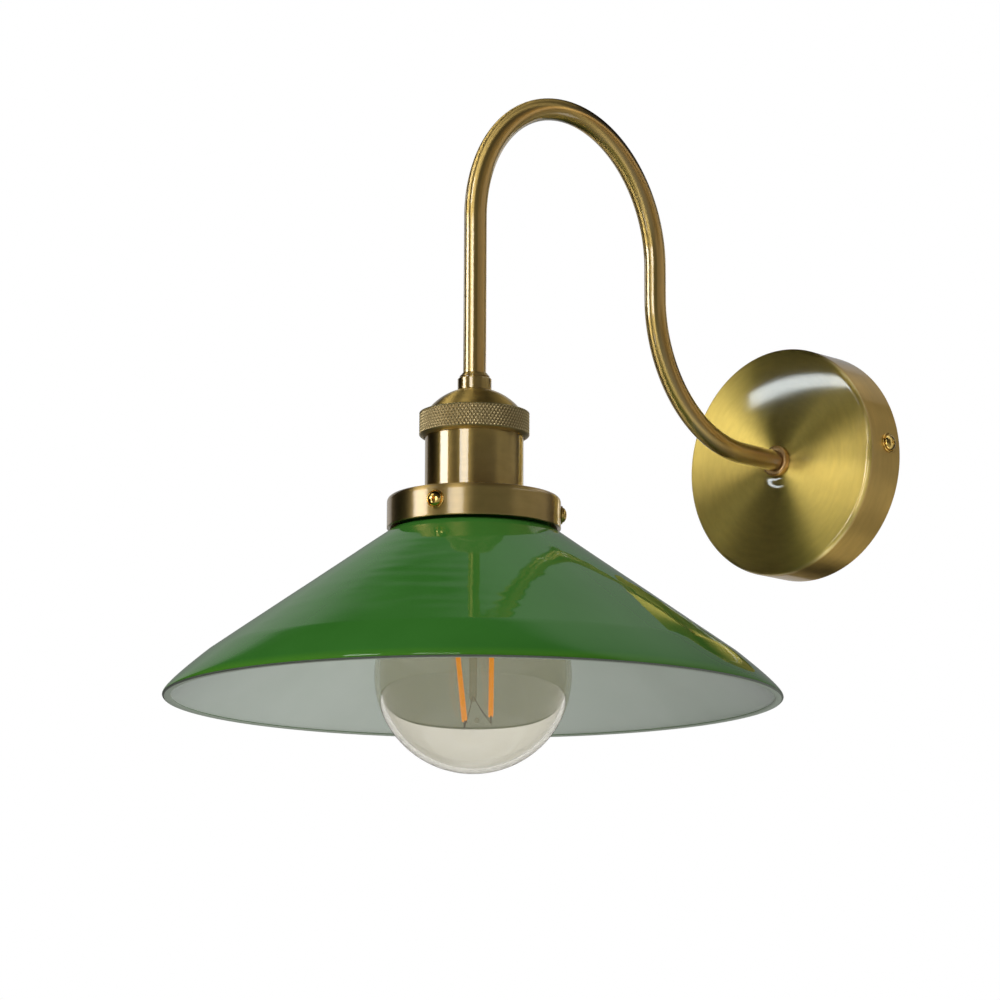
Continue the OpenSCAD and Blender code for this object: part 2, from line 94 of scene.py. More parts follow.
# ---------------------------------------------------------------- mesh helpers
def fil(pts, n=5, support=0.14, closed=True):
    """A profile with its corners rounded: points are (r, z) or (r, z, corner radius).
    A support point follows each corner, so that flats shade flat."""
    out = []
    N = len(pts)
    for i, p in enumerate(pts):
        q = Vector(p[:2])
        rad = p[2] if len(p) > 2 else 0.0
        a = Vector(pts[i - 1][:2])
        b = Vector(pts[(i + 1) % N][:2])
        if not closed and i in (0, N - 1):
            out.append([q])
            continue
        v1, v2 = (a - q), (b - q)
        l1, l2 = v1.length, v2.length
        v1.normalize()
        v2.normalize()
        if rad <= 0 or abs(v1.cross(v2)) < 1e-4:
            out.append([q])
            continue
        half = v1.angle(v2) / 2
        t = min(rad / math.tan(half), 0.49 * l1, 0.49 * l2)
        rad = t * math.tan(half)
        mid = q + (v1 + v2).normalized() * (rad / math.sin(half))
        s, e = q + v1 * t - mid, q + v2 * t - mid
        ang = math.atan2(s.x * e.y - s.y * e.x, s.dot(e))
        out.append([mid + Matrix.Rotation(ang * k / n, 2) @ s for k in range(n + 1)])
    res = []
    for i, arc in enumerate(out):
        res += arc
        nxt = out[(i + 1) % N]
        if not closed and i == N - 1:
            break
        a, b = arc[-1], nxt[0]
        if (b - a).length > 6 * support:
            d = (b - a).normalized() * support
            res += [a + d, b - d]
    return [(v.x, v.y) for v in res]


def lathe(prof, seg, wave=None, closed=True):
    """A closed solid of revolution about local Z. wave(theta, r, z, row) may move a point."""
    verts, faces, rows = [], [], []
    for j, (r, z) in enumerate(prof):
        if r < 1e-6:
            verts.append((0.0, 0.0, z))
            rows.append([len(verts) - 1] * seg)
            continue
        row = []
        for i in range(seg):
            t = TAU * i / seg
            rr, zz = wave(t, r, z, j) if wave else (r, z)
            verts.append((rr * math.cos(t), rr * math.sin(t), zz))
            row.append(len(verts) - 1)
        rows.append(row)
    n = len(prof)
    for j in range(n if closed else n - 1):
        a, b = rows[j], rows[(j + 1) % n]
        for i in range(seg):
            k = (i + 1) % seg
            f = []
            for v in (a[i], a[k], b[k], b[i]):
                if v not in f:
                    f.append(v)
            if len(f) > 2:
                faces.append(f)
    return verts, faces


def frames(path):
    """Position, tangent and two normals at each point of a path, without twist."""
    pts = [Vector(p) for p in path]
    tans = []
    for i in range(len(pts)):
        a = pts[i] - pts[i - 1] if i else pts[1] - pts[0]
        b = pts[i + 1] - pts[i] if i < len(pts) - 1 else a
        tans.append((a.normalized() + b.normalized()).normalized())
    ref = Vector((1, 0, 0)) if abs(tans[0].x) < 0.9 else Vector((0, 0, 1))
    u = (ref - tans[0] * ref.dot(tans[0])).normalized()
    out = []
    for i, t in enumerate(tans):
        if i:
            u = tans[i - 1].rotation_difference(t) @ u
            u = (u - t * u.dot(t)).normalized()
        out.append((pts[i], t, u, t.cross(u)))
    return out


def sweep(path, radii, seg=24, bore=None):
    """A round bar, or a pipe when bore is given, along a path. radii is one number or one for each point."""
    fr = frames(path)
    n = len(fr)
    rad = radii if isinstance(radii, (list, tuple)) else [radii] * n
    verts, faces = [], []

    def ring(k, r):
        p, t, u, v = fr[k]
        start = len(verts)
        for i in range(seg):
            a = TAU * i / seg
            verts.append(tuple(p + u * (r * math.cos(a)) + v * (r * math.sin(a))))
        return list(range(start, start + seg))

    def skin(a, b):
        for i in range(seg):
            k = (i + 1) % seg
            faces.append((a[i], a[k], b[k], b[i]))

    outer = [ring(k, rad[k]) for k in range(n)]
    for k in range(n - 1):
        skin(outer[k], outer[k + 1])
    if bore:
        inner = [ring(k, bore if not isinstance(bore, (list, tuple)) else bore[k]) for k in range(n)]
        for k in range(n - 1):
            skin(inner[k], inner[k + 1])
        skin(outer[0], inner[0])
        skin(outer[-1], inner[-1])
    else:
        for k in (0, n - 1):
            p = fr[k][0]
            verts.append(tuple(p))
            c = len(verts) - 1
            o = outer[k]
            for i in range(seg):
                faces.append((o[i], o[(i + 1) % seg], c))
    return verts, faces


def prism(poly, z0, z1, top=1.0, bottom=1.0):
    """A straight or tapered prism from a polygon in XY."""
    n = len(poly)
    verts = [(x * bottom, y * bottom, z0) for x, y in poly] + [(x * top, y * top, z1) for x, y in poly]
    faces = [tuple(range(n)), tuple(range(n, 2 * n))]
    faces += [(i, (i + 1) % n, n + (i + 1) % n, n + i) for i in range(n)]
    return verts, faces


def block(lo, hi):
    return prism([(lo[0], lo[1]), (hi[0], lo[1]), (hi[0], hi[1]), (lo[0], hi[1])], lo[2], hi[2])


def smooth_path(pts, step=1.2):
    """A Catmull-Rom curve through the points, resampled."""
    P = [Vector(p) for p in pts]
    out = [P[0]]
    for i in range(len(P) - 1):
        p0 = P[max(i - 1, 0)]
        p1, p2 = P[i], P[i + 1]
        p3 = P[min(i + 2, len(P) - 1)]
        n = max(1, round((p2 - p1).length / step))
        for k in range(1, n + 1):
            t = k / n
            out.append(0.5 * ((2 * p1) + (p2 - p0) * t + (2 * p0 - 5 * p1 + 4 * p2 - p3) * t * t
                              + (3 * p1 - p0 - 3 * p2 + p3) * t ** 3))
    return out


def raw(name, shells, at=None):
    """A mesh object from one or more closed shells, in millimetres, with outward normals."""
    verts, faces = [], []
    for v, f in shells:
        o = len(verts)
        verts += [tuple(c) for c in v]
        faces += [tuple(i + o for i in q) for q in f]
    me = bpy.data.meshes.new(name)
    me.from_pydata(verts, [], faces)
    bm = bmesh.new()
    bm.from_mesh(me)
    bmesh.ops.recalc_face_normals(bm, faces=bm.faces)
    bm.to_mesh(me)
    bm.free()
    me.transform(Matrix.Diagonal((MM, MM, MM, 1)) @ (at or Matrix.Identity(4)))
    if at is not None and at.to_3x3().determinant() < 0:
        me.flip_normals()
    ob = bpy.data.objects.new(name, me)
    scene.collection.objects.link(ob)
    return ob


def baked(ob):
    """Puts the object's modifiers into its mesh."""
    dg = bpy.context.evaluated_depsgraph_get()
    me = bpy.data.meshes.new_from_object(ob.evaluated_get(dg))
    ob.modifiers.clear()
    old, ob.data = ob.data, me
    me.name = old.name
    bpy.data.meshes.remove(old)
    return ob


def cut(ob, cutters, op="DIFFERENCE"):
    for c in cutters:
        m = ob.modifiers.new("cut", "BOOLEAN")
        m.operation, m.solver, m.object = op, "EXACT", c
    baked(ob)
    for c in cutters:
        bpy.data.objects.remove(c)
    return ob


def bevel(ob, width, segments=2, angle=35):
    m = ob.modifiers.new("bevel", "BEVEL")
    m.width, m.segments, m.limit_method, m.angle_limit = width * MM, segments, "ANGLE", math.radians(angle)
    m.harden_normals = False
    m.use_clamp_overlap = True
    return baked(ob)


def piece(ob, mats, body, stands_for=(), smooth=32, pick=None):
    """Shading, materials and the piece's place in the frame."""
    me = ob.data
    me.materials.clear()
    for m in mats if isinstance(mats, (list, tuple)) else [mats]:
        me.materials.append(m)
    if pick:
        for p in me.polygons:
            p.material_index = pick(p)
    me.shade_smooth()
    me.set_sharp_from_angle(angle=math.radians(smooth))
    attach(ob, body)
    if stands_for:
        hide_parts(*stands_for)
    return ob


def rot(deg, axis):
    return Matrix.Rotation(math.radians(deg), 4, axis)


def move(x, y, z):
    return Matrix.Translation((x, y, z))


ON_AXIS = move(0, AX, 0)
TO_ROOM = rot(90, "X")          # local Z points from the wall into the room


def at_gallery(k, out=0.0):
    return move(0, AX, -51.2) @ rot(-72.5 + 120 * k, "Z") @ move(35.5 + out, 0, 0) @ rot(90, "Y")


def at_canopy(side, out=0.0):
    return (move(0, -8.6, 0) @ rot((0 if side > 0 else 180) - 4.2, "Y")
            @ move(51.5 + out, 0, 0) @ rot(90, "Y"))


# ---------------------------------------------------------------- materials
class Mat:
    """A small helper for writing node materials."""

    def __init__(self, name):
        self.m = bpy.data.materials.new(name)
        self.m.use_nodes = True
        self.t = self.m.node_tree
        self.t.nodes.clear()
        self.out = self.add("ShaderNodeOutputMaterial")

    def add(self, kind, ins=None, **props):
        n = self.t.nodes.new(kind)
        for k, v in props.items():
            setattr(n, k, v)
        for k, v in (ins or {}).items():
            if isinstance(v, bpy.types.NodeSocket):
                self.t.links.new(v, n.inputs[k])
            else:
                n.inputs[k].default_value = v
        return n

    def math(self, op, a, b=0.0, c=0.0, clamp=False):
        return self.add("ShaderNodeMath", {0: a, 1: b, 2: c}, operation=op, use_clamp=clamp).outputs[0]

    def noise(self, vec, scale, detail=2.0, rough=0.5, distort=0.0):
        return self.add("ShaderNodeTexNoise", {"Vector": vec, "Scale": scale, "Detail": detail,
                                               "Roughness": rough, "Distortion": distort}).outputs["Fac"]

    def mix(self, fac, a, b):
        n = self.add("ShaderNodeMix", {0: fac}, data_type="RGBA")
        for i, v in ((6, a), (7, b)):
            if isinstance(v, bpy.types.NodeSocket):
                self.t.links.new(v, n.inputs[i])
            else:
                n.inputs[i].default_value = v
        return n.outputs[2]

    def span(self, v, a, b, lo, hi):
        return self.add("ShaderNodeMapRange", {0: v, 1: a, 2: b, 3: lo, 4: hi}).outputs[0]

    def coords(self, centre=(0, 0, 0)):
        o = self.add("ShaderNodeTexCoord").outputs["Object"]
        return self.add("ShaderNodeVectorMath", {0: o, 1: centre}, operation="SUBTRACT").outputs[0]

    def turned(self, centre, axis, along, around):
        """Coordinates that run round an axis, for turned and brushed work."""
        v = self.coords(centre)
        s = self.add("ShaderNodeSeparateXYZ", {0: v})
        names = {"Z": ("X", "Y", "Z"), "Y": ("X", "Z", "Y"), "X": ("Y", "Z", "X")}[axis]
        a, b, c = (s.outputs[n] for n in names)
        r = self.math("SQRT", self.math("ADD", self.math("MULTIPLY", a, a), self.math("MULTIPLY", b, b)))
        r = self.math("MAXIMUM", r, 1e-5)
        ca, sa = self.math("DIVIDE", a, r), self.math("DIVIDE", b, r)
        run = self.math("MULTIPLY", self.math("ADD", r, c), along)
        return self.add("ShaderNodeCombineXYZ", {0: self.math("MULTIPLY", ca, around),
                                                 1: self.math("MULTIPLY", sa, around), 2: run}).outputs[0]

    def finish(self, shader):
        self.t.links.new(shader, self.out.inputs["Surface"])
        return self.m


def rgb(r, g, b):
    return (r, g, b, 1.0)


def brass(name, base, rough, aniso=0.0, arot=0.25, axis=None, centre=(0, 0, 0), coat=0.0, coat_rough=0.08,
          lines=3500.0, around=2.2, bump=0.12, patina=0.12, uv=False, lo=0.8, hi=1.25,
          groove_shade=None, coat_ior=1.5, grain=2600.0, wear=0.35, painted_collar_reflection=None):
    m = Mat(name)
    if axis:
        v = m.turned(centre, axis, lines, around)
        streak = m.noise(v, 1.0, 3.0, 0.6)
        wide = m.noise(m.turned(centre, axis, lines / 9, around * 1.7), 1.0, 2.0, 0.5)
    else:
        v = m.coords()
        streak = m.noise(v, grain, 2.0, 0.6)
        wide = m.noise(v, 420.0, 3.0, 0.55)
    cloud = m.noise(m.coords(), 38.0, 4.0, 0.6)
    dark = rgb(*(c * (1 - patina) for c in base))
    light = rgb(*(min(1, c * (1 + patina * 0.6)) for c in base))
    col = m.mix(m.span(cloud, 0.3, 0.7, 0, 1), dark, light)
    col = m.mix(m.span(wide, 0.35, 0.7, 0.0, wear), col, rgb(base[0] * 0.78, base[1] * 0.74, base[2] * 0.66))
    if painted_collar_reflection:            # painted reflection: the tube is painted brown where it runs into the collar, in place of the canopy's darker reflection there
        y = m.add("ShaderNodeSeparateXYZ", {0: m.coords()}).outputs["Y"]
        col = m.mix(m.span(y, -0.078, -0.042, 0.0, 1.0), col, rgb(*painted_collar_reflection))
    if groove_shade:          # painted shade: the knurl's grooves are painted darker
        deep = m.add("ShaderNodeAttribute", attribute_name="groove_shade").outputs["Fac"]
        col = m.mix(m.span(deep, 0.25, 0.9, 0.0, 1.0), col, rgb(*groove_shade))
    r = m.span(m.math("ADD", m.math("MULTIPLY", streak, 0.6), m.math("MULTIPLY", cloud, 0.4)), 0.3, 0.7,
               rough * lo, rough * hi)
    ins = {"Base Color": col, "Roughness": r}
    if bump:
        ins["Normal"] = m.add("ShaderNodeBump", {"Strength": bump, "Distance": 0.00004,
                                                 "Height": m.math("ADD", streak, m.math("MULTIPLY", wide, 0.6))}).outputs[0]
    b = m.add("ShaderNodeBsdfPrincipled", ins)
    b.inputs["Metallic"].default_value = 1.0
    b.inputs["Coat Weight"].default_value = coat
    b.inputs["Coat Roughness"].default_value = coat_rough
    b.inputs["Coat IOR"].default_value = coat_ior
    if aniso:
        b.inputs["Anisotropic"].default_value = aniso
        b.inputs["Anisotropic Rotation"].default_value = arot
        tan = m.add("ShaderNodeTangent", direction_type="UV_MAP" if uv else "RADIAL")
        if not uv:
            tan.axis = axis
        m.t.links.new(tan.outputs[0], b.inputs["Tangent"])
    return m.finish(b.outputs[0])


def plain(name, base, rough, spec=0.5, metallic=0.0, vary=0.08, scale=90.0, bump=0.08, grain=1500.0, coat=0.0,
          sub=0.0, second=None, lo=0.8, hi=1.2):
    m = Mat(name)
    v = m.coords()
    cloud = m.noise(v, scale, 4.0, 0.6)
    fine = m.noise(v, grain, 2.0, 0.5)
    second = second or tuple(c * (1 - vary) for c in base)
    col = m.mix(m.span(cloud, 0.3, 0.7, 0, 1), rgb(*second), rgb(*(min(1, c * (1 + vary * 0.5)) for c in base)))
    r = m.span(fine, 0.3, 0.7, rough * lo, min(1, rough * hi))
    n = m.add("ShaderNodeBump", {"Strength": bump, "Distance": 0.00005, "Height": fine}).outputs[0]
    b = m.add("ShaderNodeBsdfPrincipled", {"Base Color": col, "Roughness": r, "Normal": n})
    b.inputs["Metallic"].default_value = metallic
    b.inputs["Specular IOR Level"].default_value = spec
    b.inputs["Coat Weight"].default_value = coat
    if sub:
        b.inputs["Subsurface Weight"].default_value = sub
        b.inputs["Subsurface Scale"].default_value = 0.002
    return m.finish(b.outputs[0])


SHADE_C = (0, AX * MM, 0)
BR = (0.80, 0.555, 0.145)
# the tube's brown (0.36, 0.205, 0.058) is painted reflection near the collar
M_TUBE = brass("brass_tube", (0.80, 0.57, 0.18), 0.46, 0.98, 0.25, coat=1.0, coat_rough=0.11, coat_ior=1.65, bump=0.0, patina=0.08,
               uv=True, grain=120.0, lo=0.96, hi=1.04, wear=0.08, painted_collar_reflection=(0.36, 0.205, 0.058))
M_SHELL = brass("brass_turned", (0.80, 0.575, 0.19), 0.50, 0.99, 0.25, "Z", SHADE_C, coat=1.0, coat_rough=0.035, bump=0.006,
                lo=0.93, hi=1.07, coat_ior=1.7)
M_DOME = brass("brass_dome", (0.78, 0.56, 0.17), 0.50, 0.9, 0.25, "Z", SHADE_C, coat=0.6, coat_rough=0.12, bump=0.02)
# the knurl's dark (0.34, 0.25, 0.11) is painted shade in its grooves
M_KNURL = brass("brass_knurl", (0.80, 0.65, 0.35), 0.42, axis="Z", centre=SHADE_C, coat=0.1, coat_rough=0.2, bump=0.0,
                groove_shade=(0.34, 0.25, 0.11))
M_GALLERY = brass("brass_gallery", (0.80, 0.56, 0.20), 0.50, 0.96, 0.25, "Z", SHADE_C, coat=1.0, coat_rough=0.13,
                  bump=0.006, lo=0.93, hi=1.07)
M_CANOPY = brass("brass_canopy", (0.84, 0.64, 0.165), 0.44, 0.99, 0.25, "Y", (0, 0, 0), coat=1.0, coat_rough=0.045,
                 lines=4200.0, around=2.5, bump=0.006, lo=0.92, hi=1.08, coat_ior=1.75)
M_SIDE = brass("brass_canopy_side", (0.80, 0.54, 0.16), 0.42, 0.95, 0.25, "Y", (0, 0, 0), coat=0.8, coat_rough=0.10,
               lines=4200.0, around=2.5, bump=0.008)
M_COLLAR = brass("brass_collar", (0.55, 0.34, 0.14), 0.30, coat=0.4, coat_rough=0.12, bump=0.0)
M_SCREW = brass("brass_screw", (0.88, 0.62, 0.18), 0.15, bump=0.03, patina=0.08, coat=0.2)
M_BRIGHT = brass("brass_plain", (0.84, 0.65, 0.27), 0.24, bump=0.04)
M_ZINC = plain("zinc_plate", (0.62, 0.63, 0.62), 0.34, metallic=1.0, vary=0.14, scale=160.0, bump=0.15,
               second=(0.66, 0.62, 0.5))
M_NICKEL = plain("nickel_wire", (0.20, 0.19, 0.17), 0.3, metallic=1.0, vary=0.2)
M_CERAMIC = plain("ceramic_white", (0.80, 0.77, 0.70), 0.22, vary=0.05, bump=0.1)
M_NYLON = plain("nylon_white", (0.78, 0.78, 0.74), 0.42, vary=0.04, bump=0.12, sub=0.15)
M_BLACK = plain("vitrite_black", (0.015, 0.014, 0.016), 0.12, vary=0.3)
M_SOLDER = plain("solder_tin", (0.6, 0.6, 0.58), 0.28, metallic=1.0, vary=0.15, scale=600.0, bump=0.3, grain=2400.0)
M_BROWN = plain("pvc_brown", (0.15, 0.055, 0.022), 0.38, vary=0.1)
M_BLUE = plain("pvc_blue", (0.02, 0.10, 0.35), 0.38, vary=0.1)
M_COPPER = plain("copper_strands", (0.75, 0.36, 0.2), 0.3, metallic=1.0, vary=0.15)


def earth_pvc():
    m = Mat("pvc_green_yellow")
    s = m.add("ShaderNodeSeparateXYZ", {0: m.coords((0.0155, -0.0037, 0.0))})
    band = m.math("SINE", m.math("MULTIPLY", m.math("ADD", s.outputs["X"], m.math("MULTIPLY", s.outputs["Y"], 0.6)), 2600.0))
    col = m.mix(m.span(band, -0.1, 0.1, 0, 1), rgb(0.03, 0.20, 0.03), rgb(0.75, 0.62, 0.03))
    fine = m.noise(m.coords(), 1500.0)
    b = m.add("ShaderNodeBsdfPrincipled", {"Base Color": col, "Roughness": m.span(fine, 0.3, 0.7, 0.32, 0.44)})
    return m.finish(b.outputs[0])


M_EARTH = earth_pvc()


def glass_green():
    m = Mat("glass_green")
    v = m.coords(SHADE_C)
    flow = m.noise(m.turned(SHADE_C, "Z", 60.0, 3.0), 1.0, 3.0, 0.55)
    cloud = m.noise(v, 22.0, 3.0, 0.55)
    col = m.mix(m.span(cloud, 0.3, 0.7, 0, 1), rgb(0.040, 0.178, 0.023), rgb(0.049, 0.203, 0.029))
    col = m.mix(m.span(flow, 0.35, 0.7, 0, 0.35), col, rgb(0.057, 0.228, 0.036))
    fine = m.noise(v, 700.0, 2.0)
    # painted light: the last few millimetres above the rim are painted a brighter green, for light led in by the cut
    # edge
    z = m.add("ShaderNodeSeparateXYZ", {0: v}).outputs["Z"]
    col = m.mix(m.span(z, -0.1238, -0.1270, 0.0, 1.0), col, rgb(0.078, 0.262, 0.024))
    b = m.add("ShaderNodeBsdfPrincipled", {"Base Color": col, "Roughness": m.span(fine, 0.3, 0.7, 0.02, 0.05)})
    b.inputs["IOR"].default_value = 1.52
    return m.finish(b.outputs[0])


def glass_white():
    m = Mat("glass_opal")
    v = m.coords(SHADE_C)
    cloud = m.noise(v, 30.0, 3.0, 0.55)
    col = m.mix(m.span(cloud, 0.3, 0.7, 0, 1), rgb(0.78, 0.88, 0.79), rgb(0.82, 0.91, 0.83))
    fine = m.noise(v, 900.0, 2.0)
    b = m.add("ShaderNodeBsdfPrincipled", {"Base Color": col, "Roughness": m.span(fine, 0.3, 0.7, 0.10, 0.16)})
    b.inputs["IOR"].default_value = 1.5
    return m.finish(b.outputs[0])


def glass_rim(name, dark, light):
    m = Mat(name)
    v = m.coords(SHADE_C)
    fine = m.noise(v, 2600.0, 3.0)
    col = m.mix(m.span(fine, 0.3, 0.7, 0, 1), rgb(*dark), rgb(*light))
    n = m.add("ShaderNodeBump", {"Strength": 0.4, "Distance": 0.00006, "Height": fine}).outputs[0]
    b = m.add("ShaderNodeBsdfPrincipled", {"Base Color": col, "Roughness": m.span(fine, 0.3, 0.7, 0.4, 0.6), "Normal": n})
    return m.finish(b.outputs[0])


def film_glass(name, tint, edge, gloss=0.02, film=0.0, film_colour=(1, 1, 1)):
    """Thin clear glass: light goes straight through, a little darker at the edge, with a mirror gloss on both faces
    and, on tinted glass, a faint coloured metal film."""
    m = Mat(name)
    face = m.add("ShaderNodeLayerWeight", {0: 0.5}).outputs["Facing"]
    cloud = m.noise(m.coords(), 60.0, 3.0)
    deep = m.math("MULTIPLY", m.math("POWER", face, 2.6), m.span(cloud, 0.3, 0.7, 0.85, 1.0))
    t = m.add("ShaderNodeBsdfTransparent", {"Color": m.mix(deep, rgb(*tint), rgb(*edge))}).outputs[0]
    if film:
        c = m.add("ShaderNodeBsdfGlossy", {"Color": rgb(*film_colour), "Roughness": 0.22})
        d = m.add("ShaderNodeBsdfDiffuse", {"Color": rgb(*film_colour)})
        cd = m.add("ShaderNodeMixShader", {0: 0.5, 1: c.outputs[0], 2: d.outputs[0]}).outputs[0]
        t = m.add("ShaderNodeMixShader", {0: m.span(cloud, 0.3, 0.7, film * 0.9, film * 1.1), 1: t, 2: cd}).outputs[0]
    g = m.add("ShaderNodeBsdfGlossy", {"Color": rgb(1, 1, 1), "Roughness": gloss})
    f = m.math("ADD", m.math("MULTIPLY", m.math("POWER", face, 5.0), 0.96), 0.04)
    return m.finish(m.add("ShaderNodeMixShader", {0: f, 1: t, 2: g.outputs[0]}).outputs[0])


def bulb_glass():
    """Blown glass, faintly amber. It bends and mirrors, and light from the lamps passes straight through."""
    m = Mat("glass_amber")
    cloud = m.noise(m.coords(), 60.0, 3.0)
    tint = m.mix(m.span(cloud, 0.3, 0.7, 0, 1), rgb(0.79, 0.775, 0.72), rgb(0.81, 0.795, 0.745))
    b = m.add("ShaderNodeBsdfPrincipled", {"Base Color": tint})
    b.inputs["Roughness"].default_value = 0.0
    b.inputs["IOR"].default_value = 1.5
    b.inputs["Transmission Weight"].default_value = 1.0
    t = m.add("ShaderNodeBsdfTransparent", {"Color": m.mix(m.span(cloud, 0.3, 0.7, 0, 1), rgb(0.84, 0.82, 0.76),
                                                           rgb(0.87, 0.85, 0.79))}).outputs[0]
    d = m.add("ShaderNodeBsdfDiffuse", {"Color": rgb(1.0, 0.90, 0.34)}).outputs[0]
    film = m.add("ShaderNodeMixShader", {0: 0.05, 1: b.outputs[0], 2: d}).outputs[0]
    lp = m.add("ShaderNodeLightPath").outputs["Is Shadow Ray"]
    return m.finish(m.add("ShaderNodeMixShader", {0: lp, 1: film, 2: t}).outputs[0])


M_GREEN, M_OPAL = glass_green(), glass_white()
M_RIM = glass_rim("glass_ground", (0.40, 0.47, 0.38), (0.58, 0.66, 0.55))
M_ARRIS = glass_rim("glass_ground_arris", (0.13, 0.15, 0.12), (0.22, 0.25, 0.20))
M_BULB = bulb_glass()
M_STEM = film_glass("glass_clear", (0.90, 0.88, 0.83), (0.45, 0.42, 0.34))


def filament():
    m = Mat("filament_phosphor_painted_glow")
    v = m.coords()
    fine = m.noise(v, 2200.0, 3.0)
    col = m.mix(m.span(fine, 0.3, 0.7, 0, 1), rgb(0.80, 0.24, 0.005), rgb(0.92, 0.32, 0.01))
    n = m.add("ShaderNodeBump", {"Strength": 0.25, "Distance": 0.00008, "Height": fine}).outputs[0]
    b = m.add("ShaderNodeBsdfPrincipled", {"Base Color": col, "Roughness": m.span(fine, 0.3, 0.7, 0.35, 0.5), "Normal": n})
    # painted light: the filaments glow orange, though the lamp is off
    b.inputs["Emission Color"].default_value = (1.0, 0.34, 0.004, 1.0)
    b.inputs["Emission Strength"].default_value = 0.55
    return m.finish(b.outputs[0])


M_FIL = filament()

# ---------------------------------------------------------------- canopy


def crown(r):
    """The height of the pressed face: very slightly crowned, and pulled in a little round the collar."""
    q = r / 49.3
    return 22.3 - 0.10 * q * q - 0.28 * q ** 7 - 0.30 * math.exp(-((r - 6.6) / 4.2) ** 2)


face = [(49.3 + 2.2 * math.cos(a), 19.72 + 2.2 * math.sin(a)) for a in [math.radians(87.5 * k / 12) for k in range(12)]]
face = [(51.5, 19.4)] + face + [(49.3 - 0.72 * k, crown(49.3 - 0.72 * k)) for k in range(62)] + [(4.9, crown(4.9))]
can = raw("canopy_cover", [lathe([(51.3, 0.02), (51.5, 0.25)] + face + fil([
    (4.78, 22.1), (4.78, 21.1, 0.1), (50.3, 21.1, 1.0), (50.3, 0.02)], 8, closed=False), 288)], TO_ROOM)
cut(can, [raw("c", [lathe([(0, -6), (2.3, -6), (2.3, 4), (0, 4)], 40)], at_canopy(s)) for s in (1, -1)])
piece(can, [M_CANOPY, M_SIDE], "fixture", ["canopy"], smooth=40,
      pick=lambda p: 0 if p.normal.y < -0.35 else 1)

piece(raw("arm_collar_ring", [lathe(fil([
    (4.72, 22.32, 0.1), (6.9, 22.32, 0.1), (6.9, 25.3, 1.0), (4.72, 25.3, 0.25)], n=8), 96)], TO_ROOM),
    M_COLLAR, "fixture", ["arm_collar"])

# ---------------------------------------------------------------- arm tube
BEND, LOW, BZ = 57.5, 59.6, 73.5
LEG = AX + 2 * BEND
LOWY = LEG + LOW


def arm_line(x=0.0, o=0.0, z0=-6.6, y1=-13.0, step=2.5):
    """The arm's centreline moved by o in the arm's plane and by x sideways."""
    pts = []
    n = int((BZ - z0) / 4)
    pts += [(x, AX - o, z0 + (BZ - z0) * k / n) for k in range(n)]
    n = int(180 / step)
    pts += [(x, AX + BEND + (BEND + o) * math.cos(math.radians(180 - 180 * k / n)),
             BZ + (BEND + o) * math.sin(math.radians(180 - 180 * k / n))) for k in range(n)]
    pts += [(x, LEG + o, BZ - (BZ - LOW) * k / 4) for k in range(4)]
    n = int(90 / step)
    pts += [(x, LOWY + (LOW - o) * math.cos(math.radians(180 + 90 * k / n)),
             LOW + (LOW - o) * math.sin(math.radians(180 + 90 * k / n))) for k in range(n)]
    n = 8
    pts += [(x, LOWY + (y1 - LOWY) * k / n, o) for k in range(n + 1)]
    return pts


ARM_SEG = 96
arm = raw("arm_swan_neck", [sweep(arm_line(), 4.7, ARM_SEG, 3.7)])
arm_rows = len(arm.data.vertices) // (2 * ARM_SEG)
uv = arm.data.uv_layers.new(name="UVMap")
for pg in arm.data.polygons:
    ids = [arm.data.loops[k].vertex_index for k in pg.loop_indices]
    around = [i % ARM_SEG for i in ids]
    wraps = max(around) - min(around) > ARM_SEG // 2
    for k, i, a in zip(pg.loop_indices, ids, around):
        uv.data[k].uv = ((a + (ARM_SEG if wraps and a == 0 else 0)) / ARM_SEG, (i // ARM_SEG % arm_rows) / arm_rows)
piece(arm, M_TUBE, "fixture", ["arm_tube"], smooth=40)

# ---------------------------------------------------------------- lampholder
piece(raw("coupler_stepped", [lathe(fil([
    (4.74, -0.15), (6.95, -0.15, 0.2), (6.95, 4.75, 0.45), (6.4, 4.95, 0.1), (5.3, 4.9, 0.05), (5.3, 5.45, 0.05),
    (6.2, 5.55, 0.12), (6.12, 5.9, 0.2), (5.55, 6.45, 0.3), (5.25, 7.0, 0.12), (4.74, 7.09, 0.05)], n=5), 96)], ON_AXIS), M_SHELL, "fixture", ["coupler"])


def arc(cz, rho, r0, r1, n):
    """Points of a circle centred on the axis at cz, from radius r0 to r1, on its upper side."""
    a0, a1 = math.acos(r0 / rho), math.acos(r1 / rho)
    return [(rho * math.cos(a0 + (a1 - a0) * k / n), cz + rho * math.sin(a0 + (a1 - a0) * k / n)) for k in range(n + 1)]


r_out = math.sqrt(24.2 ** 2 - (-9.3 + 23.3) ** 2)
r_in = math.sqrt(23.0 ** 2 - (-12.0 + 23.3) ** 2)
dome_prof = ([(4.72, -0.4), (7.0, -0.4)] + arc(-23.3, 24.2, 7.6, r_out, 28)
             + fil([(21.1, -9.35), (21.1, -15.6), (17.9, -15.6)], 3, closed=False)
             + arc(-23.3, 23.0, 17.9, 9.0, 20) + [(4.72, -1.8)])
piece(raw("dome_cover", [lathe(dome_prof, 160)], ON_AXIS), M_DOME, "fixture", ["dome_cap"], smooth=38)

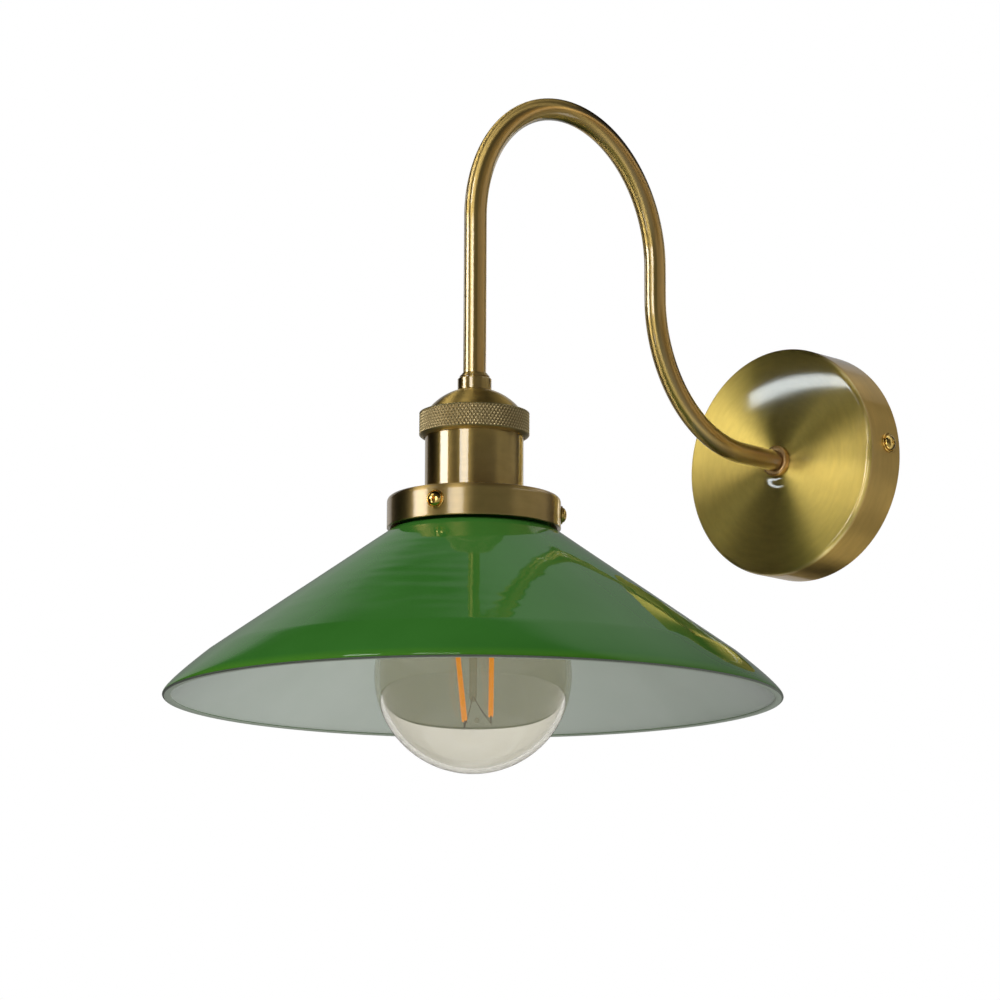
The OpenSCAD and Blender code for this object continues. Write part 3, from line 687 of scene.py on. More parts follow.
# knurled union ring: two crossing families of V grooves
KN = 92
KP = TAU * 22.65 / KN
LEAN = math.tan(math.radians(33))
rows = 59
KTOP = -9.75
KBOT = KTOP - rows * KP / LEAN / 16
kn_prof = [(20.35, -9.38), (21.6, -9.36), (22.1, -9.42), (22.42, -9.56)]
k0 = len(kn_prof)
kn_prof += [(22.62, KTOP - KP / LEAN / 16 * k) for k in range(rows + 1)]
k1 = len(kn_prof)
kn_prof += [(22.58, KBOT - 0.12), (22.4, KBOT - 0.38), (22.05, KBOT - 0.66), (21.55, KBOT - 0.86), (21.0, -19.86),
            (20.42, -19.88), (20.35, -19.8), (20.35, -17.05), (21.2, -17.05), (21.2, -9.38)]


def knurl_depth(t, z):
    s_ = t * 22.65
    fade = max(0.0, min(1.0, (KTOP + 0.15 - z) / 0.35, (z - KBOT + 0.15) / 0.35))
    g = 0.0
    for d in (1, -1):
        f = ((s_ + d * (z - KTOP) * LEAN) / KP) % 1.0
        g = max(g, 1 - abs(f - 0.5) * 2)
    return g * fade


def knurl(t, r, z, j):
    if j < k0 or j >= k1:
        return r, z
    return r - 0.52 * knurl_depth(t, z), z


ring = raw("union_ring_knurled", [lathe(kn_prof, KN * 8, knurl)], ON_AXIS)
# the depth of the knurl's grooves, where their painted shade goes
at_ = ring.data.attributes.new("groove_shade", "FLOAT", "POINT")
at_.data.foreach_set("value", [
    knurl_depth(math.atan2(v.co.y / MM - AX, v.co.x / MM) % TAU, v.co.z / MM)
    if KBOT - 0.05 < v.co.z / MM < KTOP + 0.05 and math.hypot(v.co.x / MM, v.co.y / MM - AX) > 21.4 else 0.0
    for v in ring.data.vertices])
piece(ring, M_KNURL, "union_ring", ["knurled_ring"], smooth=50)

# shell with its threaded skirt (the skirt's thread is 1.5 mm pitch)
sh_prof = fil([(19.25, -15.7, 0.1), (21.0, -15.7, 0.2), (21.0, -16.9, 0.15), (20.15, -16.95, 0.2),
               (20.15, -44.6, 0.35), (19.45, -44.6)], 4, closed=False)
t0 = len(sh_prof)
sh_prof += [(19.45, -44.8 - 0.25 * k) for k in range(56)]
t1 = len(sh_prof)
sh_prof += fil([(19.2, -59.0, 0.15), (18.6, -59.0, 0.1), (18.6, -43.6), (19.25, -43.6)], 3, closed=False)


def shell_thread(t, r, z, j):
    if t0 <= j < t1:
        ph = (z / 1.5 - t / TAU) % 1.0
        return 19.58 - 0.36 * abs(ph - 0.5) * 2, z
    return r, z


piece(raw("lampholder_skirted_shell", [lathe(sh_prof, 144, shell_thread)], ON_AXIS), M_SHELL, "fixture",
      ["lampholder_shell"], smooth=32)


# ring nut under the gallery, with finger notches
def notches(t, r, z, j):
    if r > 23.5:
        return r - 0.9 * max(0.0, math.cos(16 * t)) ** 6, z
    return r, z


piece(raw("gallery_ring_nut", [lathe(fil([(19.75, -46.12, 0.1), (26.0, -46.12, 0.4), (26.0, -48.9, 0.4), (23.0, -48.9, 0.2),
                                         (23.0, -51.4, 0.3), (19.75, -51.4, 0.2)], 4), 192, notches)], ON_AXIS),
      M_KNURL, "fixture", ["shade_ring_nut"])

# ---------------------------------------------------------------- gallery
gal = raw("gallery_cup", [lathe(fil([
    (19.65, -44.6, 0.1), (35.5, -44.6, 2.4), (35.5, -57.7, 0.25), (34.0, -57.7, 0.2), (34.0, -46.1, 0.9), (19.65, -46.1, 0.1)],
    n=10), 240)], ON_AXIS)
cut(gal, [raw("c", [lathe([(0, -4), (1.55, -4), (1.55, 3), (0, 3)], 32)], at_gallery(k)) for k in range(3)])
piece(gal, M_GALLERY, "fixture", ["gallery"], smooth=40)


# ---------------------------------------------------------------- screws and washers
def cross(a, w):
    return [(a, -w), (a, w), (w, w), (w, a), (-w, a), (-w, w), (-a, w), (-a, -w), (-w, -w), (-w, -a), (w, -a), (w, -w)]


def screw(name, at, head_r, head_h, shank_r, shank_l, pitch, depth, body, node, turn=20.0, wing=0.5):
    """A pan head with a cross recess over a threaded shank; the seat is at local z = 0."""
    dome = [(0.0, head_h)] + [(head_r * 0.93 * math.sin(a), head_h - (head_h * 0.42) * (1 - math.cos(a)) * 1.9)
                              for a in [math.radians(7 * k) for k in range(1, 9)]]
    dome_r, dome_z = dome[-1]
    head = dome + [(head_r * 0.95, head_h * 0.42), (head_r, head_h * 0.22), (head_r, head_h * 0.06), (head_r * 0.97, 0.0),
                   (shank_r + 0.05, 0.0), (shank_r - depth, -0.25)]
    s0 = len(head)
    n = int(shank_l / pitch * 6)
    head += [(shank_r, -0.3 - (shank_l - 0.9) * k / n) for k in range(n + 1)]
    s1 = len(head)
    head += [(shank_r - depth * 1.2, -shank_l + 0.25), (shank_r - depth * 2, -shank_l + 0.02), (0.0, -shank_l + 0.02)]

    def thread(t, r, z, j):
        if s0 <= j < s1:
            ph = (z / pitch - t / TAU) % 1.0
            return shank_r - depth * abs(ph - 0.5) * 2, z
        return r, z

    ob = raw(name, [lathe(head, 72, thread)], at)
    drive = raw("c", [prism(cross(head_r * wing, head_r * 0.115), head_h - 1.25, head_h + 1.0, 1.0, 0.42)],
                at @ rot(turn, "Z"))
    cut(ob, [drive])
    m = ob.modifiers.new("bevel", "BEVEL")
    m.width, m.segments, m.limit_method, m.angle_limit = 0.05 * MM, 2, "ANGLE", math.radians(38)
    baked(ob)
    piece(ob, M_SCREW, body, [node], smooth=34)


for k in range(3):
    piece(raw(f"gallery_washer_dished_{k + 1}", [lathe(fil([
        (1.58, 0.03, 0.05), (3.75, 0.03, 0.12), (3.75, 0.73, 0.22), (3.28, 0.73, 0.12), (3.18, 0.22, 0.05),
        (2.86, 0.22, 0.05), (2.8, 0.73, 0.05), (1.58, 0.73, 0.1)], 4), 72)], at_gallery(k)),
        M_SCREW, f"gallery_washer_{k + 1}", [f"gallery_washer_{k + 1}"])
    screw(f"gallery_cross_screw_{k + 1}", at_gallery(k, 0.76), 2.98, 1.7, 1.5, 4.7, 0.5, 0.28,
          f"gallery_screw_{k + 1}", f"gallery_screw_{k + 1}", turn=(12, 50, 75)[k])
for side, nm in ((1, "right"), (-1, "left")):
    piece(raw(f"canopy_washer_flat_{nm}", [lathe(fil([
        (2.08, 0.03, 0.05), (4.4, 0.03, 0.12), (4.4, 0.83, 0.25), (3.95, 0.83, 0.12), (3.82, 0.25, 0.05),
        (3.5, 0.25, 0.05), (3.4, 0.83, 0.05), (2.08, 0.83, 0.1)], 4), 72)], at_canopy(side)),
        M_SCREW, f"canopy_washer_{nm}", [f"canopy_washer_{nm}"])
    screw(f"canopy_cross_screw_{nm}", at_canopy(side, 0.85), 3.62, 2.1, 2.0, 7.6, 0.7, 0.38,
          f"canopy_screw_{nm}", f"canopy_screw_{nm}", turn=(33 if side > 0 else 70))

# ---------------------------------------------------------------- glass shade
SK, NECK, CONE = 1.4216, 31.35, -57.0
OUT_R = 125 - 16.8
IN_R = OUT_R - 2.4
DROP = 3.2 * math.sqrt(1 + SK * SK) / SK


def cone_at(r):
    return CONE - (r - NECK) / SK


def bez(a, b, c, n):
    return [tuple((1 - t) ** 2 * a[i] + 2 * t * (1 - t) * b[i] + t * t * c[i] for i in (0, 1))
            for t in [k / n for k in range(1, n + 1)]]


outer = fil([(28.3, -46.85, 0.4), (33.1, -46.85, 0.8), (33.1, -49.3, 0.7), (NECK, -49.6, 0.3), (NECK, CONE - 0.5, 1.2),
             (OUT_R, cone_at(OUT_R))], 5, closed=False)[:-1]
outer = outer[:-1] + [(r, cone_at(r)) for r in [34 + (OUT_R - 34) * k / 84 for k in range(85)]]
n_cone = len(outer)
outer += bez((OUT_R, cone_at(OUT_R)), (126.3, -125.9), (125.0, -127.6), 16)
n_out = len(outer)
outer += [(124.7, -127.9), (124.3, -128.0), (122.3, -128.0), (121.8, -127.8)]
n_rim = len(outer)
inner = bez((IN_R, cone_at(IN_R) - DROP), (122.7, -126.4), (121.6, -127.5), 14)[::-1]
inner += [(r, cone_at(r) - DROP) for r in [IN_R - (IN_R - 28.3) * k / 28 for k in range(29)]]
shade_prof = outer + inner


def waver(t, r, z, j):
    """The slight waviness of blown glass on the cone, nothing at the neck and the rim."""
    if j >= n_cone or r < 36:
        return r, z
    fade = max(0.0, min(1.0, (r - 36) / 8.0, (OUT_R - r) / 14.0))
    p = Vector((r * math.cos(t), r * math.sin(t), z))
    w = noise.noise(p * 0.030) * 0.10 + noise.noise(p * 0.075 + Vector((9, 3, 5))) * 0.035
    mask = 0.15 + max(0.0, noise.noise(p * 0.022 + Vector((4, 8, 1))) + 0.25)
    w += noise.noise(Vector((p.x * 0.06, p.y * 0.06, p.z * 0.34))) * 0.066 * mask
    w *= fade
    return r + w * 0.5754, z + w * 0.8178


shade = raw("shade_cased_glass", [lathe(shade_prof, 384, waver)], ON_AXIS)


def shade_pick(p):
    c = p.center
    r = math.hypot(c.x, c.y - AX * MM) / MM
    z = c.z / MM
    if z < -127.2 and r > 124.3:
        return 3
    if z < -127.55 and r > 121.3:
        return 2
    n = p.normal
    if r < 28.6 or (n.z < -0.05 and z > -127.6 and r < 124 and not (r > 31 and z > -50.0)):
        return 1
    return 0


piece(shade, [M_GREEN, M_OPAL, M_RIM, M_ARRIS], "fixture", ["glass_shade"], smooth=40, pick=shade_pick)

# ---------------------------------------------------------------- bulb
BZC, BR_ = -117.5, 40.0
neck = [(12.3, -60.0), (12.3, -66.8), (13.0, -68.1), (13.9, -71.0), (15.4, -75.0), (17.6, -78.9)]
neck_s = [(v.x, v.y) for v in smooth_path([(r, z, 0) for r, z in neck], 0.8)]
a0 = math.acos(20.6 / BR_)
globe = [(BR_ * math.cos(a), BZC + BR_ * math.sin(a)) for a in
         [a0 + (-math.pi / 2 - a0) * k / 60 for k in range(60)]] + [(0.0, BZC - BR_)]
BRI = 37.9
inside = [(0.0, BZC - BRI)] + [(BRI * math.cos(a), BZC + BRI * math.sin(a)) for a in
                                  [-math.pi / 2 + (a0 + math.pi / 2) * k / 60 for k in range(1, 61)]]
inside += [(r - 0.8, z + 0.1) for r, z in neck_s[::-1][:-1]] + [(11.5, -60.0)]
piece(raw("bulb_globe", [lathe(neck_s + globe + inside, 160)], ON_AXIS), M_BULB, "bulb", ["bulb_glass"],
      smooth=50)

# cap with its rolled thread
PITCH = 3.629


def thread_at(t, z):
    return math.cos(TAU * z / PITCH - t)


cap = [(11.4, -45.0), (11.4, -44.05), (12.0, -44.05), (12.35, -44.5)]
c0 = len(cap)
cap += [(12.45, -44.8 - 0.30 * k) for k in range(56)]
c1 = len(cap)
cap += [(12.75, -61.9), (13.15, -62.4), (13.2, -62.9), (13.2, -66.2), (13.1, -66.5), (12.6, -66.55), (12.5, -66.3), (12.5, -61.8)]
c2 = len(cap)
cap += [(11.95, -61.3 + 0.30 * k) for k in range(53)]
c3 = len(cap)


def cap_thread(t, r, z, j):
    if c0 <= j < c1:
        f = min(1, (-44.8 - z) / 1.6, (z + 61.3) / 1.6)
        return 12.42 + 0.43 * thread_at(t, z) * max(0, f), z
    if c2 <= j < c3:
        f = min(1, (-45.7 - z) / 1.6, (z + 61.3) / 1.6)
        return 11.95 + 0.43 * thread_at(t, z) * max(0, f), z
    return r, z


piece(raw("bulb_threaded_cap", [lathe(cap, 96, cap_thread)], ON_AXIS), M_BRIGHT, "bulb", ["bulb_cap"],
      smooth=45)
piece(raw("bulb_cap_insulator", [lathe(fil([(0, -41.55), (5.3, -41.55, 0.4), (11.3, -44.0, 0.5), (11.3, -44.95, 0.1), (0, -44.95)],
                                           4), 72)], ON_AXIS), M_BLACK, "bulb", ["bulb_insulator"])
piece(raw("bulb_tip_solder", [lathe([(0, -39.55), (1.6, -39.6), (2.8, -39.8), (3.8, -40.25), (4.5, -40.8), (4.75, -41.3),
                                     (4.75, -41.48), (0, -41.48)], 72)], ON_AXIS), M_SOLDER, "bulb_tip", ["bulb_contact"])
stem = [(0, -60.1), (11.3, -60.1), (11.4, -60.6)] + [(v.x, v.y) for v in smooth_path(
    [(11.2, -61.2, 0), (8.2, -64.8, 0), (5.6, -69.0, 0), (3.4, -74.5, 0), (2.3, -80.0, 0), (1.75, -92.0, 0), (1.6, -108.0, 0),
     (1.4, -124.0, 0)], 1.0)] + [(1.5, -125.5), (1.45, -127.0), (1.0, -128.3), (0.0, -128.75)]
bead = lathe([(0.0, -134.9)] + [(1.05 * math.sin(math.radians(15 * k)), -135.95 + 1.05 * math.cos(math.radians(15 * k)))
                               for k in range(1, 12)] + [(0.0, -137.0)], 32)
bead = ([(x + 0.73728 * 1.7, y + 0.67559 * 1.7, z) for x, y, z in bead[0]], bead[1])
piece(raw("bulb_glass_stem", [lathe(stem, 48), bead], ON_AXIS), M_STEM, "bulb", ["bulb_stem"], smooth=60)

FIL = [(7.6, 4.4, -95, 7.3, 4.4, -134.6), (7.5, -4.4, -95, 7.2, -4.4, -134.2),
       (-7.9, 4.0, -95, -3.1, 4.4, -136.6), (-7.7, -4.2, -95, -3.5, -4.2, -136.2)]
FU, FW = Vector((0.73728, 0.67559, 0)), Vector((0.67559, -0.73728, 0))


def fil_p(q, i, dz=0.0):
    return Vector((0, AX, 0)) + FU * q[i] + FW * q[i + 1] + Vector((0, 0, q[i + 2] + dz))


sticks, wires = [], []
for q in FIL:
    a, b = fil_p(q, 0), fil_p(q, 3)
    d = (b - a).normalized()
    n = 26
    path = [a + d * ((b - a).length * k / n) for k in range(n + 1)]
    path = [a - d * 0.0, a + d * 0.12, a + d * 0.35] + path[1:-1] + [b - d * 0.35, b - d * 0.12, b]
    rad = [0.5, 0.8, 0.97] + [1.0] * (n - 1) + [0.97, 0.8, 0.5]
    sticks.append(sweep(path, rad, 20))
    wires.append(sweep([a + Vector((0, 0, 2.25)), a + Vector((0, 0, 0.05))], 0.3, 10))
    wires.append(sweep([b - Vector((0, 0, 0.05)), b - Vector((0, 0, 2.4))], 0.3, 10))
piece(raw("bulb_led_filaments", sticks), M_FIL, "bulb", ["bulb_filaments"], smooth=60)
tip = Vector((0, AX, -126.0))
for q in FIL:                                   # lower supports: from the stem's tip to each filament's foot
    b = fil_p(q, 3, -2.3)
    mid = (tip + b) / 2 + Vector((0, 0, -0.8))
    wires.append(sweep(smooth_path([tip, mid, b, b + (b - tip).normalized() * 0.7], 1.2), 0.14, 8))
for q in FIL:                                   # upper leads: from the pinch down to each filament's head
    a = fil_p(q, 0, 2.2)
    root = Vector((0, AX, -76.0)) + (a - Vector((0, AX, a.z))).normalized() * 2.0
    knee = root.lerp(a, 0.45) + Vector((0, 0, 1.2))
    wires.append(sweep(smooth_path([root, knee, a], 1.5), 0.2, 8))
beam = fil_p(FIL[1], 3, -3.0), fil_p(FIL[0], 3, -3.0)
wires.append(sweep([beam[0] - FW * 0.6, beam[0].lerp(beam[1], 0.5), beam[1] + FW * 0.6], 0.18, 8))
beam = fil_p(FIL[3], 3, -3.0), fil_p(FIL[2], 3, -3.0)
wires.append(sweep([beam[0] - FW * 0.6, beam[0].lerp(beam[1], 0.5), beam[1] + FW * 0.6], 0.18, 8))
piece(raw("bulb_support_wires", wires), M_NICKEL, "bulb", ["bulb_wires"], smooth=60)

# ---------------------------------------------------------------- socket
piece(raw("socket_threaded_shell", [lathe(
    [(6.0, -37.32), (13.3, -37.32), (13.6, -37.5), (13.72, -37.9)]
    + [(13.35, -38.4 - 0.30 * k) for k in range(71)]
    + [(13.7, -60.1), (13.75, -60.45), (13.35, -60.48), (13.2, -60.1)]
    + [(12.9, -59.5 + 0.30 * k) for k in range(71)]
    + [(13.15, -37.9), (6.0, -37.78)], 96,
    lambda t, r, z, j: (r + 0.42 * thread_at(t, z) * max(0, min(1, (-38.4 - z) / 1.5, (z + 59.6) / 1.5)), z)
    if (4 <= j < 75 or 79 <= j < 150) else (r, z))], ON_AXIS), M_BRIGHT, "fixture", ["socket_screw_shell"],
    smooth=45)

# ---------------------------------------------------------------- CAD nodes that stay, with their materials
KEEP = {
    "wall_bracket": M_ZINC, "arm_lock_washer": M_ZINC, "arm_hex_nut": M_ZINC, "cable_bush": M_NYLON,
    "terminal_block": M_NYLON, "terminal_sleeves": M_BRIGHT, "terminal_screws": M_ZINC, "terminal_block_screw": M_ZINC,
    "earth_screw": M_BRIGHT, "earth_ring_tag": M_ZINC, "live_wire": M_BROWN, "neutral_wire": M_BLUE,
    "earth_wire": M_EARTH, "dome_lock_washer": M_ZINC, "dome_hex_nut": M_ZINC, "socket_ceramic": M_CERAMIC,
    "centre_contact": M_BRIGHT, "shell_contact": M_BRIGHT, "socket_terminal_screws": M_ZINC,
}
for name, mat in KEEP.items():
    ob = NODES[name]
    ob.data.materials.clear()
    ob.data.materials.append(mat)

# ---------------------------------------------------------------- stage and light
TO_CAM = Vector((0.6813, -0.7320, 0.0))
TO_RIGHT = Vector((0.7320, 0.6813, 0.0))
MID = Vector((0.0, AX * MM, 0.0))


def heading(left, up=0.0):
    """The direction `left` degrees to the left of the front and `up` degrees above level."""
    a, e = math.radians(left), math.radians(up)
    return (TO_CAM * math.cos(a) - TO_RIGHT * math.sin(a)) * math.cos(e) + Vector((0, 0, math.sin(e)))


world = bpy.data.worlds.new("studio")
scene.world = world
world.use_nodes = True
wt = world.node_tree
wt.nodes.clear()


def wnode(kind, ins=None, **props):
    n = wt.nodes.new(kind)
    for k, v in props.items():
        setattr(n, k, v)
    for k, v in (ins or {}).items():
        if isinstance(v, bpy.types.NodeSocket):
            wt.links.new(v, n.inputs[k])
        else:
            n.inputs[k].default_value = v
    return n


def toward(left, up, lo, hi, a, b):
    """A soft glow of the room round one direction."""
    d = wnode("ShaderNodeVectorMath", {0: w_dir, 1: heading(left, up)}, operation="DOT_PRODUCT").outputs["Value"]
    n = wnode("ShaderNodeMapRange", {0: d, 1: lo, 2: hi, 3: a, 4: b}, interpolation_type="SMOOTHSTEP")
    return n.outputs[0]


w_dir = wnode("ShaderNodeTexCoord").outputs["Generated"]
room = toward(-30, 0, -0.35, 0.30, 0.006, 0.045)
room = wnode("ShaderNodeMath", {0: room, 1: toward(-85, 5, 0.45, 0.90, 0.0, 0.035)}, operation="ADD").outputs[0]
room = wnode("ShaderNodeMath", {0: room, 1: toward(0, 90, 0.35, 0.85, 1.0, 0.15)}, operation="MULTIPLY").outputs[0]
room = wnode("ShaderNodeMath", {0: room, 1: toward(-10, -52, 0.45, 0.93, 0.0, 0.33)}, operation="ADD").outputs[0]
w_dim = wnode("ShaderNodeBackground", {0: (1.0, 0.985, 0.95, 1), 1: room}).outputs[0]
w_white = wnode("ShaderNodeBackground", {0: (1, 1, 1, 1), 1: 1.0}).outputs[0]
w_path = wnode("ShaderNodeLightPath").outputs
w_seen = wnode("ShaderNodeMath", {0: w_path["Is Camera Ray"], 1: w_path["Is Transmission Ray"]}, operation="MAXIMUM")
w_mix = wnode("ShaderNodeMixShader", {0: w_seen.outputs[0], 1: w_dim, 2: w_white})
wnode("ShaderNodeOutputWorld", {0: w_mix.outputs[0]})


def softbox(name, place, look, w, h, radiance, colour=(1, 1, 1)):
    """A soft light at `place` that faces along `look`, unseen by the camera itself."""
    data = bpy.data.lights.new(name, "AREA")
    data.shape = "RECTANGLE"
    data.size, data.size_y = w, h
    data.energy = radiance * math.pi * w * h
    data.color = colour
    ob = bpy.data.objects.new(name, data)
    scene.collection.objects.link(ob)
    ob.location = place
    ob.rotation_mode = "QUATERNION"
    ob.rotation_quaternion = look.to_track_quat("-Z", "Y")
    ob.visible_camera = False
    return ob


def flat(left):
    return -heading(left)


def strip(name, a, b, width, radiance, colour=(1, 1, 1)):
    """A long narrow light from point a to point b, facing the lamp."""
    a, b = Vector(a), Vector(b)
    mid, run = (a + b) / 2, (b - a)
    z = -(MID - mid).normalized()
    x = (run - z * run.dot(z)).normalized()
    ob = softbox(name, mid, -z, run.length, width, radiance, colour)
    ob.rotation_mode = "XYZ"
    ob.matrix_world = Matrix.Translation(mid) @ Matrix((x, z.cross(x), z)).transposed().to_4x4()
    return ob


def upright(name, left, width, z0, z1, radiance, colour=(1, 1, 1), far=1.25):
    """An upright soft light `left` degrees round from the camera, between two heights."""
    return softbox(name, MID + heading(left) * far + Vector((0, 0, (z0 + z1) / 2)), flat(left),
                   2 * far * math.tan(math.radians(width / 2)), z1 - z0, radiance, colour)


def only(lights, names, title):
    """Flags the light off everything else, as on a product stage."""
    c = bpy.data.collections.new(title)
    for n in names:
        c.objects.link(bpy.data.objects[n])
    for ob in lights:
        ob.light_linking.receiver_collection = c


CANOPY_SET = ["canopy_cover", "arm_collar_ring"] + [f"canopy_{a}_{b}" for a in ("washer_flat", "cross_screw")
                                                    for b in ("right", "left")]
GLASS_SET = ["shade_cased_glass"] + [o.name for o in scene.objects if o.name.startswith("bulb_") and o.type == "MESH"]
TUBE_SET = ["arm_swan_neck"]
HOLDER_SET = [o.name for o in scene.objects if o.type == "MESH" and o.name not in CANOPY_SET + GLASS_SET + TUBE_SET]


def rack(title, names, rows):
    """Upright soft lights for some of the pieces: heading, width, two heights and radiance of each."""
    only([upright(f"{title}_{k + 1:02d}", *row) for k, row in enumerate(rows)], names, "lit_by_" + title)


rack("holder_softbox", HOLDER_SET, [
    (74.6, 22.0, 0.10, 0.36, 9.0), (23.8, 20.0, 0.10, 0.34, 6.6), (19, 22, -0.25, 0.10, 2.6), (72, 12, -0.70, -0.25, 2.8),
    (24, 12, -0.70, -0.25, 1.0), (72, 36, 0.60, 1.20, 1.3), (-72, 36, 0.30, 0.60, 1.35), (-114, 36, 0.60, 1.20, 1.0),
    (-108, 12, -0.70, -0.25, 0.9), (-36, 60, -0.25, 0.10, 0.35)])
rack("tube_softbox", TUBE_SET, [
    (84, 24, 0.08, 0.42, 9.6), (28, 22, 0.08, 0.42, 8.2), (48, 12, 0.60, 1.20, 7.5), (-40, 30, 0.10, 0.45, 0.62, (1.0, 0.66, 0.30)),
    (48, 12, -0.70, -0.25, 4.7), (132, 12, 0.30, 0.60, 2.5), (-84, 60, 0.30, 0.60, 0.95, (1.0, 0.74, 0.40)), (-138, 24, 0.10, 0.30, 1.6),
    (-144, 12, -0.25, 0.10, 1.4), (-108, 12, -0.70, -0.25, 1.2), (102, 24, 0.60, 1.20, 1.25), (-78, 24, -0.25, 0.10, 0.5, (1.0, 0.74, 0.40))])
rack("back_softbox", HOLDER_SET + CANOPY_SET, [(180, 80, -0.30, 0.90, 0.5)])
rack("back_tube_softbox", TUBE_SET, [(180, 60, -0.30, 0.70, 0.5)])
OUT, TIP = Vector((0, -1, 0)), Vector((-0.953, 0, 0.303))
ACROSS = OUT.cross(TIP)


def round_canopy(th, ph):
    """A direction from the canopy: th degrees tipped to the left, ph degrees across that."""
    a, b = math.radians(th), math.radians(ph)
    return (OUT * math.cos(a) + TIP * math.sin(a)) * math.cos(b) + ACROSS * math.sin(b)


def canopy_panel(name, th0, th1, ph0, ph1, radiance, far=1.3):
    d = round_canopy((th0 + th1) / 2, (ph0 + ph1) / 2)
    run = (round_canopy(th1, (ph0 + ph1) / 2) - round_canopy(th0, (ph0 + ph1) / 2)).normalized()
    w = far * 2 * math.tan(math.radians((th1 - th0) / 2)) * math.cos(math.radians((ph0 + ph1) / 2))
    ob = softbox(name, d * far, -d, w, far * 2 * math.tan(math.radians((ph1 - ph0) / 2)), radiance)
    z = run.cross(ACROSS).normalized()
    if z.dot(d) < 0:
        z = -z
    y = z.cross(run).normalized()
    ob.rotation_mode = "XYZ"
    ob.matrix_world = Matrix.Translation(d * far) @ Matrix((run, y, z)).transposed().to_4x4()
    return ob


def beside(name, turn, up, radiance):
    """A soft light round the canopy's side, `turn` degrees from straight out towards the right."""
    a, e = math.radians(turn), math.radians(up)
    d = Vector((math.sin(a) * math.cos(e), -math.cos(a) * math.cos(e), math.sin(e)))
    return softbox(name, d * 1.3, -d, 0.65, 0.845, radiance)


def fill(name, left, up, radiance):
    """A wide soft light that isn't mirrored in the glass."""
    d = heading(left, up)
    ob = softbox(name, MID + Vector((0, 0, -0.08)) + d * 1.4, -d, 1.2, 0.8, radiance)
    ob.visible_glossy = False
    ob.visible_transmission = False
    return ob


PANELS = [(12, 20, -6, 0, 16.9), (12, 20, 6, 13, 11.7), (2, 12, 6, 13, 12.7), (12, 20, 0, 6, 6.5), (-8, 2, -22, -13, 4.6),
          (12, 20, 13, 22, 4.1), (-40, -20, 45, 65, 2.9), (-40, -20, -45, -22, 1.15), (12, 20, -65, -45, 2.7),
          (-36, -24, -12, 22, 5.0)]
SIDES = [(125, -15, 0.48), (100, 55, 0.66), (125, 20, 0.59), (125, -50, 0.34), (125, 55, 0.27), (180, 55, 0.25),
         (60, -75, 1.1), (60, 75, 0.7), (-115, -42, 0.85)]
only([canopy_panel(f"canopy_panel_{k + 1:02d}", *row) for k, row in enumerate(PANELS)]
     + [beside(f"canopy_side_{k + 1}", *row) for k, row in enumerate(SIDES)]
     + [strip("canopy_strip", (-0.90, -1.11, 0.345), (-0.392, -1.356, 0.54), 0.026, 8.0, (0.93, 1.0, 1.02))], CANOPY_SET, "lit_by_canopy_lights")
only([strip("ceiling_strip_a", MID + heading(66, 52) * 1.9, MID + heading(46, 52) * 1.9, 0.06, 34.0),
      strip("ceiling_strip_b", MID + heading(28, 50) * 1.9, MID + heading(6, 50) * 1.9, 0.06, 34.0),
      softbox("floor_bounce", MID + Vector((0, 0, -1.2)), Vector((0, 0, 1)), 2.0, 2.0, 0.25),
      fill("fill_left_above", 60, 50, 3.2), fill("fill_front_above", 0, 50, 0.8), fill("fill_left", 60, 15, 0.46),
      fill("fill_back_below", -120, -35, 1.2), fill("fill_back", 180, 25, 1.0), fill("fill_left_below", 60, -35, 0.42)],
     GLASS_SET, "lit_from_ceiling_and_floor")
wall = softbox("wall_glow", Vector((0.0, 0.035, 0.35)), Vector((0, -1, 0)), 3.2, 1.8, 1.0)
wall.data.use_nodes = True
lt = wall.data.node_tree
lt.nodes.clear()
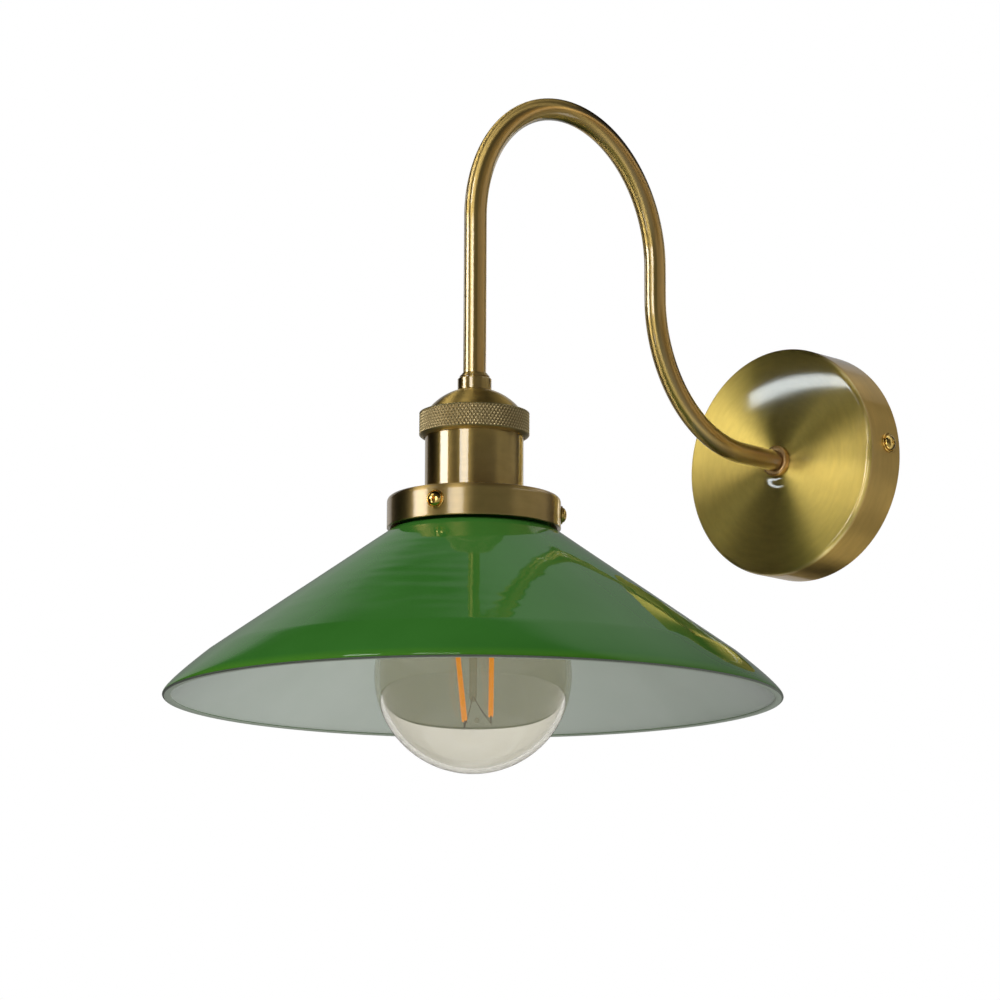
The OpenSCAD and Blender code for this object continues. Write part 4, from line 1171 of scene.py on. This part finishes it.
l_geo = lt.nodes.new("ShaderNodeNewGeometry")
l_sep = lt.nodes.new("ShaderNodeSeparateXYZ")
l_ramp = lt.nodes.new("ShaderNodeValToRGB")
l_map = lt.nodes.new("ShaderNodeMapRange")
l_em = lt.nodes.new("ShaderNodeEmission")
l_out = lt.nodes.new("ShaderNodeOutputLight")
l_map.inputs[1].default_value, l_map.inputs[2].default_value = -0.5, 1.2
els = l_ramp.color_ramp.elements
stops = [(-0.5, 0.18), (0.05, 0.22), (0.2, 0.35), (0.45, 0.34), (0.62, 0.28), (0.74, 0.15), (0.88, 0.03), (1.2, 0.0)]
while len(els) < len(stops):
    els.new(0.5)
for e, (zz, v) in zip(els, stops):
    e.position = (zz + 0.5) / 1.7
    e.color = (v, v, v, 1)
lt.links.new(l_geo.outputs["Position"], l_sep.inputs[0])
lt.links.new(l_sep.outputs["Z"], l_map.inputs[0])
lt.links.new(l_map.outputs[0], l_ramp.inputs[0])
lt.links.new(l_ramp.outputs[0], l_em.inputs[0])
lt.links.new(l_em.outputs[0], l_out.inputs[0])
only([wall], GLASS_SET, "lit_by_wall")

floor_me = bpy.data.meshes.new("floor")
bm = bmesh.new()
bmesh.ops.create_circle(bm, cap_ends=True, segments=96, radius=60.0)
bm.to_mesh(floor_me)
bm.free()
floor = bpy.data.objects.new("floor", floor_me)
scene.collection.objects.link(floor)
floor.location = (0, -0.2, -1.35)
floor.visible_glossy = floor.visible_diffuse = False
fm = Mat("floor_pale")
fc = fm.noise(fm.coords(), 3.0, 3.0)
fb = fm.add("ShaderNodeBsdfPrincipled", {"Base Color": fm.mix(fc, rgb(0.82, 0.82, 0.81), rgb(0.86, 0.86, 0.85))})
fb.inputs["Roughness"].default_value = 0.9
floor_me.materials.append(fm.finish(fb.outputs[0]))
sun = bpy.data.objects.new("floor_light", bpy.data.lights.new("floor_light", "SUN"))
sun.data.energy, sun.data.angle = 3.5, math.radians(50)
scene.collection.objects.link(sun)
sun.location = (0, -0.2, 2.0)
only([sun], ["floor"], "lit_by_floor_light")
